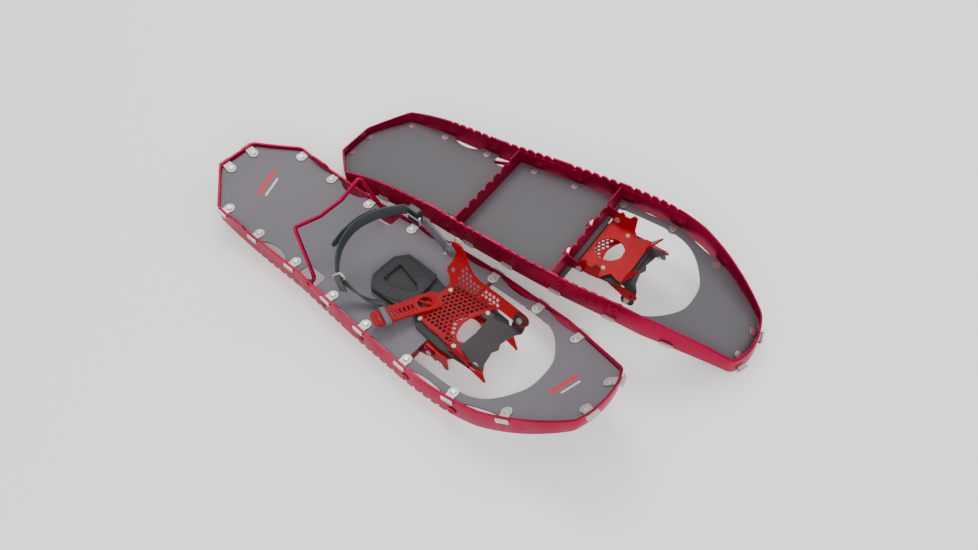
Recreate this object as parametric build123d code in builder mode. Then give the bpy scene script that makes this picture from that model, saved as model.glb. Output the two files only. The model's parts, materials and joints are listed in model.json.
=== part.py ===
"""A pair of mountain snowshoes: the right one stands on its toothed frame, the left one lies
beside it upside down.

One shoe is drawn in its own frame: X towards the toe, Y to the wearer's left, Z up, and
Z = 0 on the mid-plane of the flat part of the deck. The left shoe is the mirror image.
"""
import os
from math import asin, atan2, cos, degrees, radians, sin, sqrt

from build123d import *

os.makedirs("parts", exist_ok=True)

# ---- plan of the frame (half of it, the rest is mirrored) ----
TAIL_X = -322.0
TAIL_HALF = 30.0
TAIL_CORNER = (-272.0, 77.0)
WAIST = (-110.0, 78.5)
WIDEST = (90.0, 92.5)
SHOULDER = (205.0, 85.5)
NOSE_CORNER = (310.0, 44.0)
NOSE_X = 321.0
SIDE_BULGE = 1.8
CHEST_BULGE = 2.6
NOSE_BULGE = 3.2
TAIL_FILLET = 12.0
NOSE_FILLET = 16.0

# ---- side view: the deck is flat between two upturned ends ----
NOSE_BEND_X = 122.0
NOSE_RISE = 66.0
TAIL_BEND_X = -195.0
TAIL_RISE = 20.0

# ---- frame rail: one upright blade bent round the plan ----
RAIL_THICK = 3.0
RAIL_ABOVE = 5.5
BLADE_DEPTH = 28.0
BLADE_REAR_X = -150.0
BLADE_FRONT_X = 130.0
END_DEPTH = 12.0
TOOTH_HEIGHT = 6.0
TOOTH_PITCH = 13.0
TEETH_PER_GROUP = 6
TOOTH_GROUPS = (-160.0, -60.0, 40.0, 128.0)
HUMP = ((-254.0, 0.0), (-247.0, 5.0), (-222.0, 5.0), (-214.0, 0.0))

# ---- deck ----
DECK_THICK = 2.0
DECK_GAP = 0.8
OPENING_REAR_X = 87.0
OPENING_SIDE_X = 148.0
OPENING_HALF = 74.0
OPENING_TIP_X = 233.0
OPENING_FILLET = 10.0

# ---- deck clips and their rivets ----
CLIP_X = (-262.0, -200.0, -126.0, -50.0, 14.0, 88.0, 164.0, 236.0)
SCALLOPS = (2.5, 10.0, 0.0, 3.0, 3.0, 4.5, 3.0, 2.5)
TAIL_CLIP_Y = 20.0
NOSE_CLIP_Y = 26.0
CLIP_INSET = 12.0
CLIP_RADIUS = 6.8
CLIP_NECK = 12.0
CLIP_THICK = 1.6
CLIP_BAR = 17.0
CLIP_BAR_THICK = 2.6
CLIP_BAR_HEIGHT = 5.0
SLOT_PLAY = 0.2
TAB_SEAT = 0.15
BAR_CURVE_PLAY = 0.8
RIVET_RADIUS = 2.0
RIVET_HEAD = 3.6
RIVET_HEAD_HEIGHT = 1.4
WASHER_RADIUS = 5.5
WASHER_THICK = 1.0
HOLE_PLAY = 0.05

# ---- crossmembers ----
STRIP_THICK = 2.0
STRIP_DEPTH = 25.0
REAR_STRIP_X = -76.0
FRONT_STRIP_X = 80.0
ARM_LENGTH = 98.0
ARM_TOP = -6.0
ARM_BOTTOM = -23.0
STRIP_TOOTH = 6.0
STRIP_PITCH = 19.0
STRIP_TEETH = 6
ARM_RIVETS = (16.0, 90.0)
ARM_RIVET_Z = -14.5
ARM_RIVET_HEAD = 5.5
ARM_RIVET_RADIUS = 2.5
ARM_RIVET_RING = 3.05
ARM_RIVET_PROUD = 1.2
ARM_RIVET_GAP = 0.1
TAB_Y = 29.0
TAB_LENGTH = 15.0
TAB_WIDTH = 15.0

# ---- binding pivot ----
PIVOT_X = 98.0
PIVOT_Z = -8.0
PIN_RADIUS = 2.5
PIN_HEAD = 4.0
PIN_HEAD_THICK = 1.5
RUNNING_PLAY = 0.05
FLANGE_Y = 48.0
EAR_GAP = 1.0
EAR_RADIUS = 8.5

# ---- crampon plate ----
SHEET = 2.0
PLATE_TOP = -1.0
PLATE_REAR_X = 90.0
PLATE_FRONT_X = 153.0
PLATE_WAIST = (134.0, 35.0)
PLATE_FRONT_HALF = 40.0
FLANGE_FRONT_X = 124.0
FLANGE_BOTTOM = -26.0
PLATE_HOLE_X = 113.0
PLATE_HOLE_RADIUS = 19.0
SPIKE_Y = 31.0
SPIKE_WIDTH = 17.0
SPIKE_TIP = (171.0, -26.5)

# ---- binding base, heel pad and toe plate ----
BASE_BOTTOM = 1.5
BASE_THICK = 3.5
PAD_REAR_X = -30.0
PAD_FRONT_X = 40.0
PAD_HALF = 36.0
PAD_THICK = 8.0
PAD_RECESS_DEPTH = 4.0
NECK = (52.0, 29.0)
BASE_HALF = 45.0
BASE_FRONT_X = 157.0
BASE_WINDOW_REAR_X = 88.0
BASE_WINDOW_FRONT_X = 142.0
BASE_WINDOW_HALF = 24.0
REAR_RIVET = (62.0, 28.5)
FRONT_RIVET = (121.5, 32.0)
BOSS_RADIUS = 7.0
TOE_THICK = 2.0
TOE_TAB_RADIUS = 8.5
TOE_REAR_X = 127.0
TOE_FRONT_X = 166.0
WING_REAR_X = 155.0
WING_FRONT_X = 173.0
WING_ROOT_Y = 37.0
WING_TOP_Y = 45.0
WING_TOP_Z = 27.0
SCREW_RADIUS = 2.0
SCREW_HEAD = 4.0
SCREW_INSET = 7.0

# ---- forefoot mesh, straps and hardware ----
MESH_THICK = 1.6
MESH_REAR_X = 47.0
MESH_FRONT_X = 110.0
MESH_HALF = 35.0
WALL_TOP_Y = 61.0
WALL_TOP_Z = 25.0
ARM_WIDTH = 12.0
EYE_RADIUS = 6.5
POST_REAR_X = 26.0
POST_FRONT_X = 68.0
POST_TOP_HALF = 8.0
POST_TOP_X = 47.0
STRAP_THICK = 2.6
LADDER_ROOT = (57.0, 2.0, 8.4)
LADDER_END = (26.0, -74.0, 18.0)
LADDER_WIDTH = 24.0
LADDER_SLOTS = 9
LADDER_SLOT_PITCH = 6.0
KEEPER_PLAY = 0.4
KEEPER_WALL = 1.5
KEEPER_LENGTH = 8.0
KEEPER_AT = 62.0
ANKLE_X = 34.0
ANKLE_RIVET_RADIUS = 3.0
ANKLE_HEAD = 6.0
ANKLE_DISC = 11.0
ANKLE_POST_WIDTH = 20.0
ANKLE_POST_THICK = 3.0
POST_END_X = -8.0
HEEL_WIDTH = 17.0
HEEL_THICK = 2.6
HEEL_TOP_REAR_X = -72.0
BUCKLE_LENGTH = 20.0
BUCKLE_WIDTH = 23.0
BUCKLE_THICK = 7.0
POST_TO_BUCKLE = 5.5
PRONG_RADIUS = 1.2
ADJUSTER_LENGTH = 10.0
ADJUSTER_GAP = 3.2
HOOK_RADIUS = 5.0
HOOK_WIRE = 1.4
POST_TOP_Z = 60.0
ANKLE_Z = 39.0
STRAP_BUCKLE_Z = 62.0
STRAP_ADJUSTER_Z = 38.0
ADJUSTER_X = -44.0
ADJUSTER_WALL = 2.5
ADJUSTER_THICK = 5.0
ADJUSTER_SLOT = 3.0
STRAP_LOW = (-4.0, -53.0)
STRAP_LOW_RISE = 4.0
STRAP_ANCHOR = (14.0, -40.8, 6.5)
WALL_MIDDLE_X = 80.0
WALL_LENGTH = 66.0
MESH_EAR_X = 98.0
MESH_EAR_WIDTH = 14.0
LADDER_WINDOW = (17.0, 9.0)
LADDER_WINDOW_AT = 12.0
LADDER_FIRST_SLOT = 28.0
LADDER_SLOT = (1.6, 8.0)

# ---- heel-lift bail ----
BAIL_X = -87.0
BAIL_Z = 0.8
WIRE_RADIUS = 2.7
BAIL_RAISED = 60.0
BAIL_FOLDED = 10.0
BAIL_LEG = 73.0
BAIL_DIP = 9.0
BAIL_BAR_HALF = 57.0
BAIL_FOOT_HALF = 69.0
BAIL_BEND = 5.0
BAIL_NOTCH_LENGTH = 34.0
BAIL_NOTCH_SHIFT = 7.0
BAIL_NOTCH_INNER_HALF = 57.0
BAIL_NOTCH_CORNER = 8.0
GROMMET_WALL = 1.2
GROMMET_FLANGE = 5.0
GROMMET_FLANGE_THICK = 1.2
GROMMET_STANDOFF = 0.8
BAIL_FOOT_PROUD = 1.5

# ---- how the two shoes lie ----
SHOE_SPACING = (74.6, 185.0)
LEFT_HEADING = 5.7

TALL = 400.0
DECK_TOP = DECK_THICK / 2
STRAP_PRESS = {"right": 1.0, "left": 0.5}
BAIL_REST = {"right": BAIL_RAISED, "left": BAIL_FOLDED}


def bend_radius(run, rise):
    """Radius of the arc that leaves a straight level and climbs `rise` over `run`."""
    return (run**2 + rise**2) / (2 * rise)


NOSE_RADIUS = bend_radius(NOSE_X - NOSE_BEND_X, NOSE_RISE)
TAIL_RADIUS = bend_radius(TAIL_BEND_X - TAIL_X, TAIL_RISE)


def deck_slope(x):
    """Angle of the deck at x, in degrees, nose up."""
    if x > NOSE_BEND_X:
        return degrees(asin((x - NOSE_BEND_X) / NOSE_RADIUS))
    if x < TAIL_BEND_X:
        return degrees(asin((x - TAIL_BEND_X) / TAIL_RADIUS))
    return 0.0


def deck_height(x):
    """Height of the deck's mid-plane at x."""
    radius = NOSE_RADIUS if x > NOSE_BEND_X else TAIL_RADIUS
    return radius * (1 - cos(radians(deck_slope(x))))


def bulged(start, end, bulge):
    """Arc from start to end that swells outwards by `bulge` at its middle."""
    middle = (Vector(*start) + Vector(*end)) * 0.5
    across = (Vector(*end) - Vector(*start)).normalized().rotate(Axis.Z, 90)
    return ThreePointArc(start, middle + across * bulge, end)


with BuildLine() as side_line:
    Line(TAIL_CORNER, WAIST)
    bulged(WAIST, WIDEST, SIDE_BULGE)
    bulged(WIDEST, SHOULDER, CHEST_BULGE)
    bulged(SHOULDER, NOSE_CORNER, NOSE_BULGE)


def rim_half(x):
    """Half-width of the frame's outer face at x, along its side."""
    for edge in side_line.edges():
        ends = sorted((edge @ 0, edge @ 1), key=lambda p: p.X)
        if ends[0].X <= x <= ends[1].X:
            if edge.geom_type == GeomType.LINE:
                share = (x - ends[0].X) / (ends[1].X - ends[0].X)
                return ends[0].Y + share * (ends[1].Y - ends[0].Y)
            centre = edge.arc_center
            return centre.Y + sqrt(edge.radius**2 - (x - centre.X) ** 2)
    raise ValueError("x is beyond the side of the frame")


def shoe_plan(inset):
    """Plan of the shoe, `inset` inside the frame's outer face."""
    with BuildSketch() as plan:
        with BuildLine():
            Polyline((TAIL_X, 0), (TAIL_X, TAIL_HALF), TAIL_CORNER)
            add(side_line.line)
            nose = ThreePointArc(NOSE_CORNER, (NOSE_X, 0), (NOSE_CORNER[0], -NOSE_CORNER[1]))
            mirror(side_line.line, about=Plane.XZ)
            Polyline((TAIL_X, 0), (TAIL_X, -TAIL_HALF), (TAIL_CORNER[0], -TAIL_CORNER[1]))
        make_face()
        tail_corners = plan.vertices().filter_by(lambda v: v.X < TAIL_CORNER[0] + 1)
        fillet(tail_corners.filter_by(lambda v: abs(v.Y) > 1), TAIL_FILLET)
        fillet(plan.vertices().filter_by(lambda v: abs(v.X - NOSE_CORNER[0]) < 0.1), NOSE_FILLET)
        if inset:
            offset(amount=-inset, kind=Kind.INTERSECTION)
    return plan.sketch


def profile_band(above, below):
    """Side view of a band that follows the deck, on Plane.XZ."""
    spare = 6.0
    tail_sweep = -deck_slope(TAIL_X) + spare
    nose_sweep = deck_slope(NOSE_X) + spare
    with BuildSketch(Plane.XZ) as band:
        with BuildLine():
            ends = []
            for height in (above, -below):
                tail_reach = TAIL_RADIUS - height
                tail = CenterArc((TAIL_BEND_X, TAIL_RADIUS), tail_reach, -90 - tail_sweep, tail_sweep)
                Line((TAIL_BEND_X, height), (NOSE_BEND_X, height))
                nose = CenterArc((NOSE_BEND_X, NOSE_RADIUS), NOSE_RADIUS - height, -90, nose_sweep)
                ends.append((tail @ 0, nose @ 1))
            Line(ends[0][0], ends[1][0])
            Line(ends[0][1], ends[1][1])
        make_face()
    return band.sketch


def clip_plane(x, y, outward):
    """Plane of a clip: origin on the rail's outer face, local X outwards, local Z off the deck."""
    normal = Vector(0, 0, 1).rotate(Axis.Y, -deck_slope(x))
    along = outward - normal * outward.dot(normal)
    return Plane((x, y, deck_height(x)), x_dir=along, z_dir=normal)


def clip_seat(plane):
    """Height of a clip's tab above the deck's tangent, so that it clears the bend of the deck."""
    if TAIL_BEND_X < plane.origin.X < NOSE_BEND_X:
        return TAB_SEAT
    radius = NOSE_RADIUS if plane.origin.X > NOSE_BEND_X else TAIL_RADIUS
    reach = CLIP_RADIUS + CLIP_INSET * sqrt(1 - plane.x_dir.Y**2)
    return TAB_SEAT + reach**2 / (2 * radius)


def side_normal(x):
    """Outward direction of the rail at x on the +Y side."""
    step = 0.5
    slope = (rim_half(x + step) - rim_half(x - step)) / (2 * step)
    return Vector(-slope, 1, 0).normalized()


def flipped(vector):
    """The same vector on the other side of the shoe."""
    return Vector(vector.X, -vector.Y, vector.Z)


clip_planes = []
for x in CLIP_X:
    outward = side_normal(x)
    clip_planes.append(clip_plane(x, rim_half(x), outward))
    clip_planes.append(clip_plane(x, -rim_half(x), flipped(outward)))
nose_bow = bend_radius(NOSE_CORNER[1], NOSE_X - NOSE_CORNER[0])
nose_clip_x = NOSE_X - nose_bow + sqrt(nose_bow**2 - NOSE_CLIP_Y**2)
for side in (1, -1):
    tilt = degrees(asin(NOSE_CLIP_Y / nose_bow))
    outward = Vector(1, 0, 0).rotate(Axis.Z, side * tilt)
    clip_planes.append(clip_plane(nose_clip_x, side * NOSE_CLIP_Y, outward))
    clip_planes.append(clip_plane(TAIL_X, side * TAIL_CLIP_Y, Vector(-1, 0, 0)))

arm_planes = []
for strip_x in (REAR_STRIP_X, FRONT_STRIP_X):
    for reach in ARM_RIVETS:
        x = strip_x + reach
        outward = side_normal(x)
        for side, normal in ((1, outward), (-1, flipped(outward))):
            centre = (x, side * rim_half(x), ARM_RIVET_Z)
            arm_planes.append(Plane(centre, x_dir=(0, 0, 1), z_dir=normal))

tab_spots = [(FRONT_STRIP_X - TAB_LENGTH / 2, side * TAB_Y) for side in (1, -1)]
shoe = {}

# ---- frame rail ----
with BuildPart() as frame_rail:
    with BuildSketch():
        add(shoe_plan(0))
        add(shoe_plan(RAIL_THICK), mode=Mode.SUBTRACT)
    extrude(amount=TALL / 2, both=True)
    tail_lift = deck_height(TAIL_X) - END_DEPTH + BLADE_DEPTH
    nose_lift = deck_height(NOSE_X) - END_DEPTH + BLADE_DEPTH
    with BuildSketch(Plane.XZ):
        add(profile_band(RAIL_ABOVE, END_DEPTH))
        with BuildLine():
            tail_curve = bend_radius(BLADE_REAR_X - TAIL_X, tail_lift)
            nose_curve = bend_radius(NOSE_X - BLADE_FRONT_X, nose_lift)
            tail_turn = degrees(asin((BLADE_REAR_X - TAIL_X) / tail_curve))
            nose_turn = degrees(asin((NOSE_X - BLADE_FRONT_X) / nose_curve))
            tail_centre = (BLADE_REAR_X, tail_curve - BLADE_DEPTH)
            tail = CenterArc(tail_centre, tail_curve, -90 - tail_turn, tail_turn)
            Line((BLADE_REAR_X, -BLADE_DEPTH), (BLADE_FRONT_X, -BLADE_DEPTH))
            nose = CenterArc((BLADE_FRONT_X, nose_curve - BLADE_DEPTH), nose_curve, -90, nose_turn)
            nose_run = NOSE_X - NOSE_BEND_X
            stops = [NOSE_BEND_X + nose_run * share for share in (0, 0.25, 0.5, 0.75)]
            Polyline(tail @ 0, (TAIL_BEND_X, 0), *[(x, deck_height(x)) for x in stops], nose @ 1)
        make_face()
        with Locations((0, RAIL_ABOVE)):
            Polygon(*HUMP, (HUMP[-1][0], -4), (HUMP[0][0], -4), align=None)
        for start in TOOTH_GROUPS:
            with Locations((start, -BLADE_DEPTH)):
                with GridLocations(TOOTH_PITCH, 0, TEETH_PER_GROUP, 1):
                    Polygon(
                        (-TOOTH_PITCH * 0.42, -1), (TOOTH_PITCH * 0.18, -1),
                        (TOOTH_PITCH * 0.18, TOOTH_HEIGHT), align=None, mode=Mode.SUBTRACT,
                    )
    extrude(amount=TALL / 2, both=True, mode=Mode.INTERSECT)
    for plane in clip_planes:
        with BuildSketch(plane.offset(DECK_TOP + clip_seat(plane) - SLOT_PLAY)):
            Rectangle(4 * RAIL_THICK, CLIP_NECK + 2 * SLOT_PLAY)
        extrude(amount=CLIP_THICK + 2 * SLOT_PLAY, mode=Mode.SUBTRACT)
    for plane in arm_planes:
        with BuildSketch(plane):
            Circle(ARM_RIVET_RADIUS + HOLE_PLAY)
        extrude(amount=2 * RAIL_THICK, both=True, mode=Mode.SUBTRACT)
    with BuildSketch(Plane.XZ):
        with Locations((BAIL_X, BAIL_Z)):
            Circle(WIRE_RADIUS + GROMMET_WALL)
    extrude(amount=TALL / 2, both=True, mode=Mode.SUBTRACT)
shoe["frame_rail"] = frame_rail

# ---- deck: a scalloped sheet that only the clips hold ----
with BuildPart() as deck:
    with BuildSketch() as deck_plan:
        add(shoe_plan(RAIL_THICK + DECK_GAP))
        edge_y = [rim_half(x) - RAIL_THICK - DECK_GAP for x in CLIP_X]
        for i in range(len(CLIP_X) - 1):
            if SCALLOPS[i]:
                start = Vector(CLIP_X[i] + CLIP_RADIUS + 4, edge_y[i] + 0.3)
                end = Vector(CLIP_X[i + 1] - CLIP_RADIUS - 4, edge_y[i + 1] + 0.3)
                with BuildLine():
                    dip = ThreePointArc(start, (start + end) * 0.5 - Vector(0, SCALLOPS[i]), end)
                    Polyline(start, start + Vector(0, 12), end + Vector(0, 12), end)
                gap = make_face(mode=Mode.PRIVATE)
                add(gap, mode=Mode.SUBTRACT)
                mirror(gap, about=Plane.XZ, mode=Mode.SUBTRACT)
        bail_rim = rim_half(BAIL_X)
        notch_width = 2 * (bail_rim - BAIL_NOTCH_INNER_HALF)
        notch_x = BAIL_X - BAIL_NOTCH_SHIFT
        with Locations((notch_x, bail_rim), (notch_x, -bail_rim)):
            RectangleRounded(BAIL_NOTCH_LENGTH, notch_width, BAIL_NOTCH_CORNER, mode=Mode.SUBTRACT)
        with BuildLine():
            bow = Spline(
                (OPENING_SIDE_X, OPENING_HALF), (OPENING_SIDE_X + 57, OPENING_HALF - 16),
                (OPENING_TIP_X - 8, OPENING_HALF * 0.45), (OPENING_TIP_X, 0),
                tangents=((1, 0), (0, -1)),
            )
            Polyline(bow @ 0, (OPENING_REAR_X, OPENING_HALF), (OPENING_REAR_X, 0), bow @ 1)
        opening = make_face(mode=Mode.PRIVATE)
        add(opening, mode=Mode.SUBTRACT)
        mirror(opening, about=Plane.XZ, mode=Mode.SUBTRACT)
        with Locations(*tab_spots):
            Circle(RIVET_RADIUS + HOLE_PLAY, mode=Mode.SUBTRACT)
    extrude(amount=TALL / 2, both=True)
    with BuildSketch(Plane.XZ):
        add(profile_band(DECK_THICK / 2, DECK_THICK / 2))
    extrude(amount=TALL / 2, both=True, mode=Mode.INTERSECT)
    for plane in clip_planes:
        with BuildSketch(plane):
            with Locations((-CLIP_INSET, 0)):
                Circle(RIVET_RADIUS + HOLE_PLAY)
        extrude(amount=2 * DECK_THICK, both=True, mode=Mode.SUBTRACT)
shoe["deck"] = deck

# ---- clips: a round tab on the deck, a neck through the rail and a cross bar outside ----
with BuildPart() as deck_clips:
    for plane in clip_planes:
        lean_in = abs(plane.x_dir.Z) / sqrt(1 - plane.x_dir.Z**2)
        seat = DECK_TOP + clip_seat(plane)
        bar_top = seat + (CLIP_THICK + CLIP_BAR_HEIGHT) / 2
        bar_gap = SLOT_PLAY + BAR_CURVE_PLAY * abs(plane.x_dir.X) + lean_in * bar_top
        with BuildSketch(plane.offset(seat)):
            with Locations((-CLIP_INSET, 0)):
                Circle(CLIP_RADIUS)
            with Locations((-CLIP_INSET / 2, 0)):
                Rectangle(CLIP_INSET + 2 * bar_gap + 1, CLIP_NECK)
            with Locations((-CLIP_INSET, 0)):
                Circle(RIVET_RADIUS + HOLE_PLAY, mode=Mode.SUBTRACT)
        extrude(amount=CLIP_THICK)
        with BuildSketch(plane.offset(bar_top - CLIP_BAR_HEIGHT)):
            with Locations((CLIP_BAR_THICK / 2 + bar_gap, 0)):
                RectangleRounded(CLIP_BAR_THICK, CLIP_BAR, CLIP_BAR_THICK * 0.45)
        extrude(amount=CLIP_BAR_HEIGHT)
shoe["deck_clips"] = deck_clips

# ---- rivets: 20 through the clips, two through the tabs of the front crossmember ----
with BuildPart() as deck_rivets:
    spots = []
    for plane in clip_planes:
        spots.append((plane, -CLIP_INSET, 0.0, clip_seat(plane) + CLIP_THICK, TAB_SEAT))
    for x, y in tab_spots:
        spots.append((Plane.XY, x, y, 0.0, SHEET))
    for plane, x, y, over, under in spots:
        low = -DECK_TOP - under - WASHER_THICK
        high = DECK_TOP + over
        with BuildSketch(plane.offset(low)):
            with Locations((x, y)):
                Circle(WASHER_RADIUS)
        extrude(amount=WASHER_THICK)
        with BuildSketch(plane.offset(low)):
            with Locations((x, y)):
                Circle(RIVET_RADIUS)
        extrude(amount=high - low)
        with BuildSketch(plane.offset(high)):
            with Locations((x, y)):
                Circle(RIVET_HEAD)
        extrude(amount=RIVET_HEAD_HEIGHT, taper=30)
shoe["deck_rivets"] = deck_rivets


# ---- crossmembers: a toothed strip across, with arms folded forwards along the rails ----
def crossmember_body(strip_x):
    """Strip, teeth and arms of one crossmember."""
    reach = rim_half(strip_x) - RAIL_THICK - STRIP_THICK / 2
    with BuildPart() as member:
        with BuildSketch(Plane.XY.offset(ARM_BOTTOM)):
            add(shoe_plan(RAIL_THICK))
            add(shoe_plan(RAIL_THICK + STRIP_THICK), mode=Mode.SUBTRACT)
            with Locations((strip_x - STRIP_THICK / 2, 0)):
                Rectangle(ARM_LENGTH, TALL, align=(Align.MIN, Align.CENTER), mode=Mode.INTERSECT)
        extrude(amount=ARM_TOP - ARM_BOTTOM)
        with BuildSketch(Plane.YZ.offset(strip_x - STRIP_THICK / 2)):
            with Locations((0, -DECK_TOP)):
                Rectangle(2 * reach, STRIP_DEPTH, align=(Align.CENTER, Align.MAX))
            with Locations((0, -DECK_TOP - STRIP_DEPTH)):
                with GridLocations(STRIP_PITCH, 0, STRIP_TEETH, 1):
                    Polygon(
                        (-STRIP_PITCH * 0.34, 0), (-STRIP_PITCH * 0.1, STRIP_TOOTH),
                        (STRIP_PITCH * 0.1, STRIP_TOOTH), (STRIP_PITCH * 0.34, 0),
                        align=None, mode=Mode.SUBTRACT,
                    )
        extrude(amount=STRIP_THICK)
        for plane in arm_planes:
            if strip_x < plane.origin.X < strip_x + ARM_LENGTH:
                with BuildSketch(plane):
                    Circle(ARM_RIVET_RADIUS + HOLE_PLAY)
                extrude(amount=3 * RAIL_THICK, both=True, mode=Mode.SUBTRACT)
    return member


shoe["rear_crossmember"] = crossmember_body(REAR_STRIP_X)

ear_inner = FLANGE_Y + SHEET / 2 + EAR_GAP
with BuildPart() as front_crossmember:
    add(crossmember_body(FRONT_STRIP_X).part)
    with BuildSketch(Plane.XY.offset(-DECK_TOP)):
        with Locations(*tab_spots):
            Rectangle(TAB_LENGTH, TAB_WIDTH)
            Circle(RIVET_RADIUS + HOLE_PLAY, mode=Mode.SUBTRACT)
    extrude(amount=-SHEET)
    for side in (1, -1):
        with BuildSketch(Plane.XZ.offset(-side * (ear_inner + SHEET / 2))):
            with BuildLine():
                Polyline(
                    (FRONT_STRIP_X, -DECK_TOP - SHEET), (PIVOT_X + 3, -DECK_TOP - SHEET),
                    (PIVOT_X, PIVOT_Z - EAR_RADIUS), (FRONT_STRIP_X, -STRIP_DEPTH + 2), close=True,
                )
            make_face()
            with Locations((PIVOT_X, PIVOT_Z)):
                Circle(EAR_RADIUS - 2)
                Circle(PIN_RADIUS + HOLE_PLAY, mode=Mode.SUBTRACT)
        extrude(amount=SHEET / 2, both=True)
shoe["front_crossmember"] = front_crossmember

with BuildPart() as crossmember_rivets:
    grip = RAIL_THICK + STRIP_THICK + 2 * ARM_RIVET_GAP
    for plane in arm_planes:
        with BuildSketch(plane):
            Circle(ARM_RIVET_HEAD)
            Circle(ARM_RIVET_RING, mode=Mode.SUBTRACT)
        extrude(amount=ARM_RIVET_PROUD)
        with BuildSketch(plane.offset(-grip)):
            Circle(ARM_RIVET_RADIUS)
        extrude(amount=grip)
        with BuildSketch(plane):
            Circle(ARM_RIVET_RING + HOLE_PLAY)
        extrude(amount=ARM_RIVET_PROUD / 2)
        with BuildSketch(plane.offset(-grip - ARM_RIVET_PROUD)):
            Circle(ARM_RIVET_HEAD - 1)
        extrude(amount=ARM_RIVET_PROUD)
shoe["crossmember_rivets"] = crossmember_rivets

# ---- bushes that the heel-lift bail turns in ----
with BuildPart() as bail_grommets:
    for side in (1, -1):
        with BuildSketch(Plane((BAIL_X, side * bail_rim, BAIL_Z), x_dir=(1, 0, 0), z_dir=(0, -side, 0))):
            Circle(WIRE_RADIUS + GROMMET_WALL)
            Circle(WIRE_RADIUS + RUNNING_PLAY, mode=Mode.SUBTRACT)
        extrude(amount=RAIL_THICK + GROMMET_STANDOFF)
        inner_end = side * (bail_rim - RAIL_THICK - GROMMET_STANDOFF)
        with BuildSketch(Plane((BAIL_X, inner_end, BAIL_Z), x_dir=(1, 0, 0), z_dir=(0, -side, 0))):
            Circle(GROMMET_FLANGE)
            Circle(WIRE_RADIUS + RUNNING_PLAY, mode=Mode.SUBTRACT)
        extrude(amount=GROMMET_FLANGE_THICK)
shoe["bail_grommets"] = bail_grommets

# ---- hinge pins of the binding ----
with BuildPart() as hinge_pins:
    for side in (1, -1):
        inner = FLANGE_Y - SHEET / 2 - EAR_GAP
        outer = ear_inner + SHEET
        with BuildSketch(Plane.XZ.offset(-side * inner)):
            with Locations((PIVOT_X, PIVOT_Z)):
                Circle(PIN_RADIUS)
        extrude(amount=-side * (outer - inner))
        for start, step in ((inner, -PIN_HEAD_THICK), (outer, PIN_HEAD_THICK)):
            with BuildSketch(Plane.XZ.offset(-side * start)):
                with Locations((PIVOT_X, PIVOT_Z)):
                    Circle(PIN_HEAD)
            extrude(amount=-side * step)
shoe["hinge_pins"] = hinge_pins

# ---- crampon plate: a holed sheet with toothed side flanges and two front spikes ----
with BuildPart() as crampon_plate:
    with BuildSketch(Plane.XY.offset(PLATE_TOP - SHEET)):
        with BuildLine():
            half = Polyline(
                (PLATE_REAR_X, 0), (PLATE_REAR_X, FLANGE_Y - 1), (FLANGE_FRONT_X, FLANGE_Y - 1),
                PLATE_WAIST, (PLATE_FRONT_X - 8, PLATE_FRONT_HALF),
                (PLATE_FRONT_X, PLATE_FRONT_HALF), (PLATE_FRONT_X, 0),
            )
            mirror(half, about=Plane.XZ)
        make_face()
        with Locations((PLATE_HOLE_X, 0)):
            Circle(PLATE_HOLE_RADIUS, mode=Mode.SUBTRACT)
        with Locations((FRONT_RIVET[0], FRONT_RIVET[1]), (FRONT_RIVET[0], -FRONT_RIVET[1])):
            Circle(RIVET_RADIUS + HOLE_PLAY, mode=Mode.SUBTRACT)
    extrude(amount=SHEET)
    for side in (1, -1):
        with BuildSketch(Plane.XZ.offset(-side * FLANGE_Y)):
            with BuildLine():
                Polyline(
                    (PLATE_REAR_X, PLATE_TOP), (FLANGE_FRONT_X, PLATE_TOP),
                    (FLANGE_FRONT_X + 2, FLANGE_BOTTOM + 3),
                    (FLANGE_FRONT_X - 3, FLANGE_BOTTOM), (FLANGE_FRONT_X - 9, FLANGE_BOTTOM + 8),
                    (PIVOT_X + 10, FLANGE_BOTTOM + 8), (PIVOT_X + 7, FLANGE_BOTTOM + 2),
                    (PIVOT_X + 2, FLANGE_BOTTOM + 6), (PIVOT_X - 6, PIVOT_Z - 5),
                    (PLATE_REAR_X, PIVOT_Z), close=True,
                )
            make_face()
            with Locations((PIVOT_X, PIVOT_Z)):
                Circle(PIN_RADIUS + RUNNING_PLAY, mode=Mode.SUBTRACT)
        extrude(amount=SHEET / 2, both=True)
        tip_run = SPIKE_TIP[0] - PLATE_FRONT_X
        tip_drop = SPIKE_TIP[1] - (PLATE_TOP - SHEET / 2)
        root = (PLATE_FRONT_X - 1, side * SPIKE_Y, PLATE_TOP - SHEET / 2)
        spike_normal = Vector(-tip_drop, 0, tip_run).normalized()
        with BuildSketch(Plane(root, x_dir=(0, 1, 0), z_dir=spike_normal)):
            spike = sqrt(tip_run**2 + tip_drop**2)
            Polygon((-SPIKE_WIDTH / 2, 0), (SPIKE_WIDTH / 2, 0), (1, -spike), (-1, -spike), align=None)
        extrude(amount=SHEET / 2, both=True)
shoe["crampon_plate"] = crampon_plate

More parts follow.
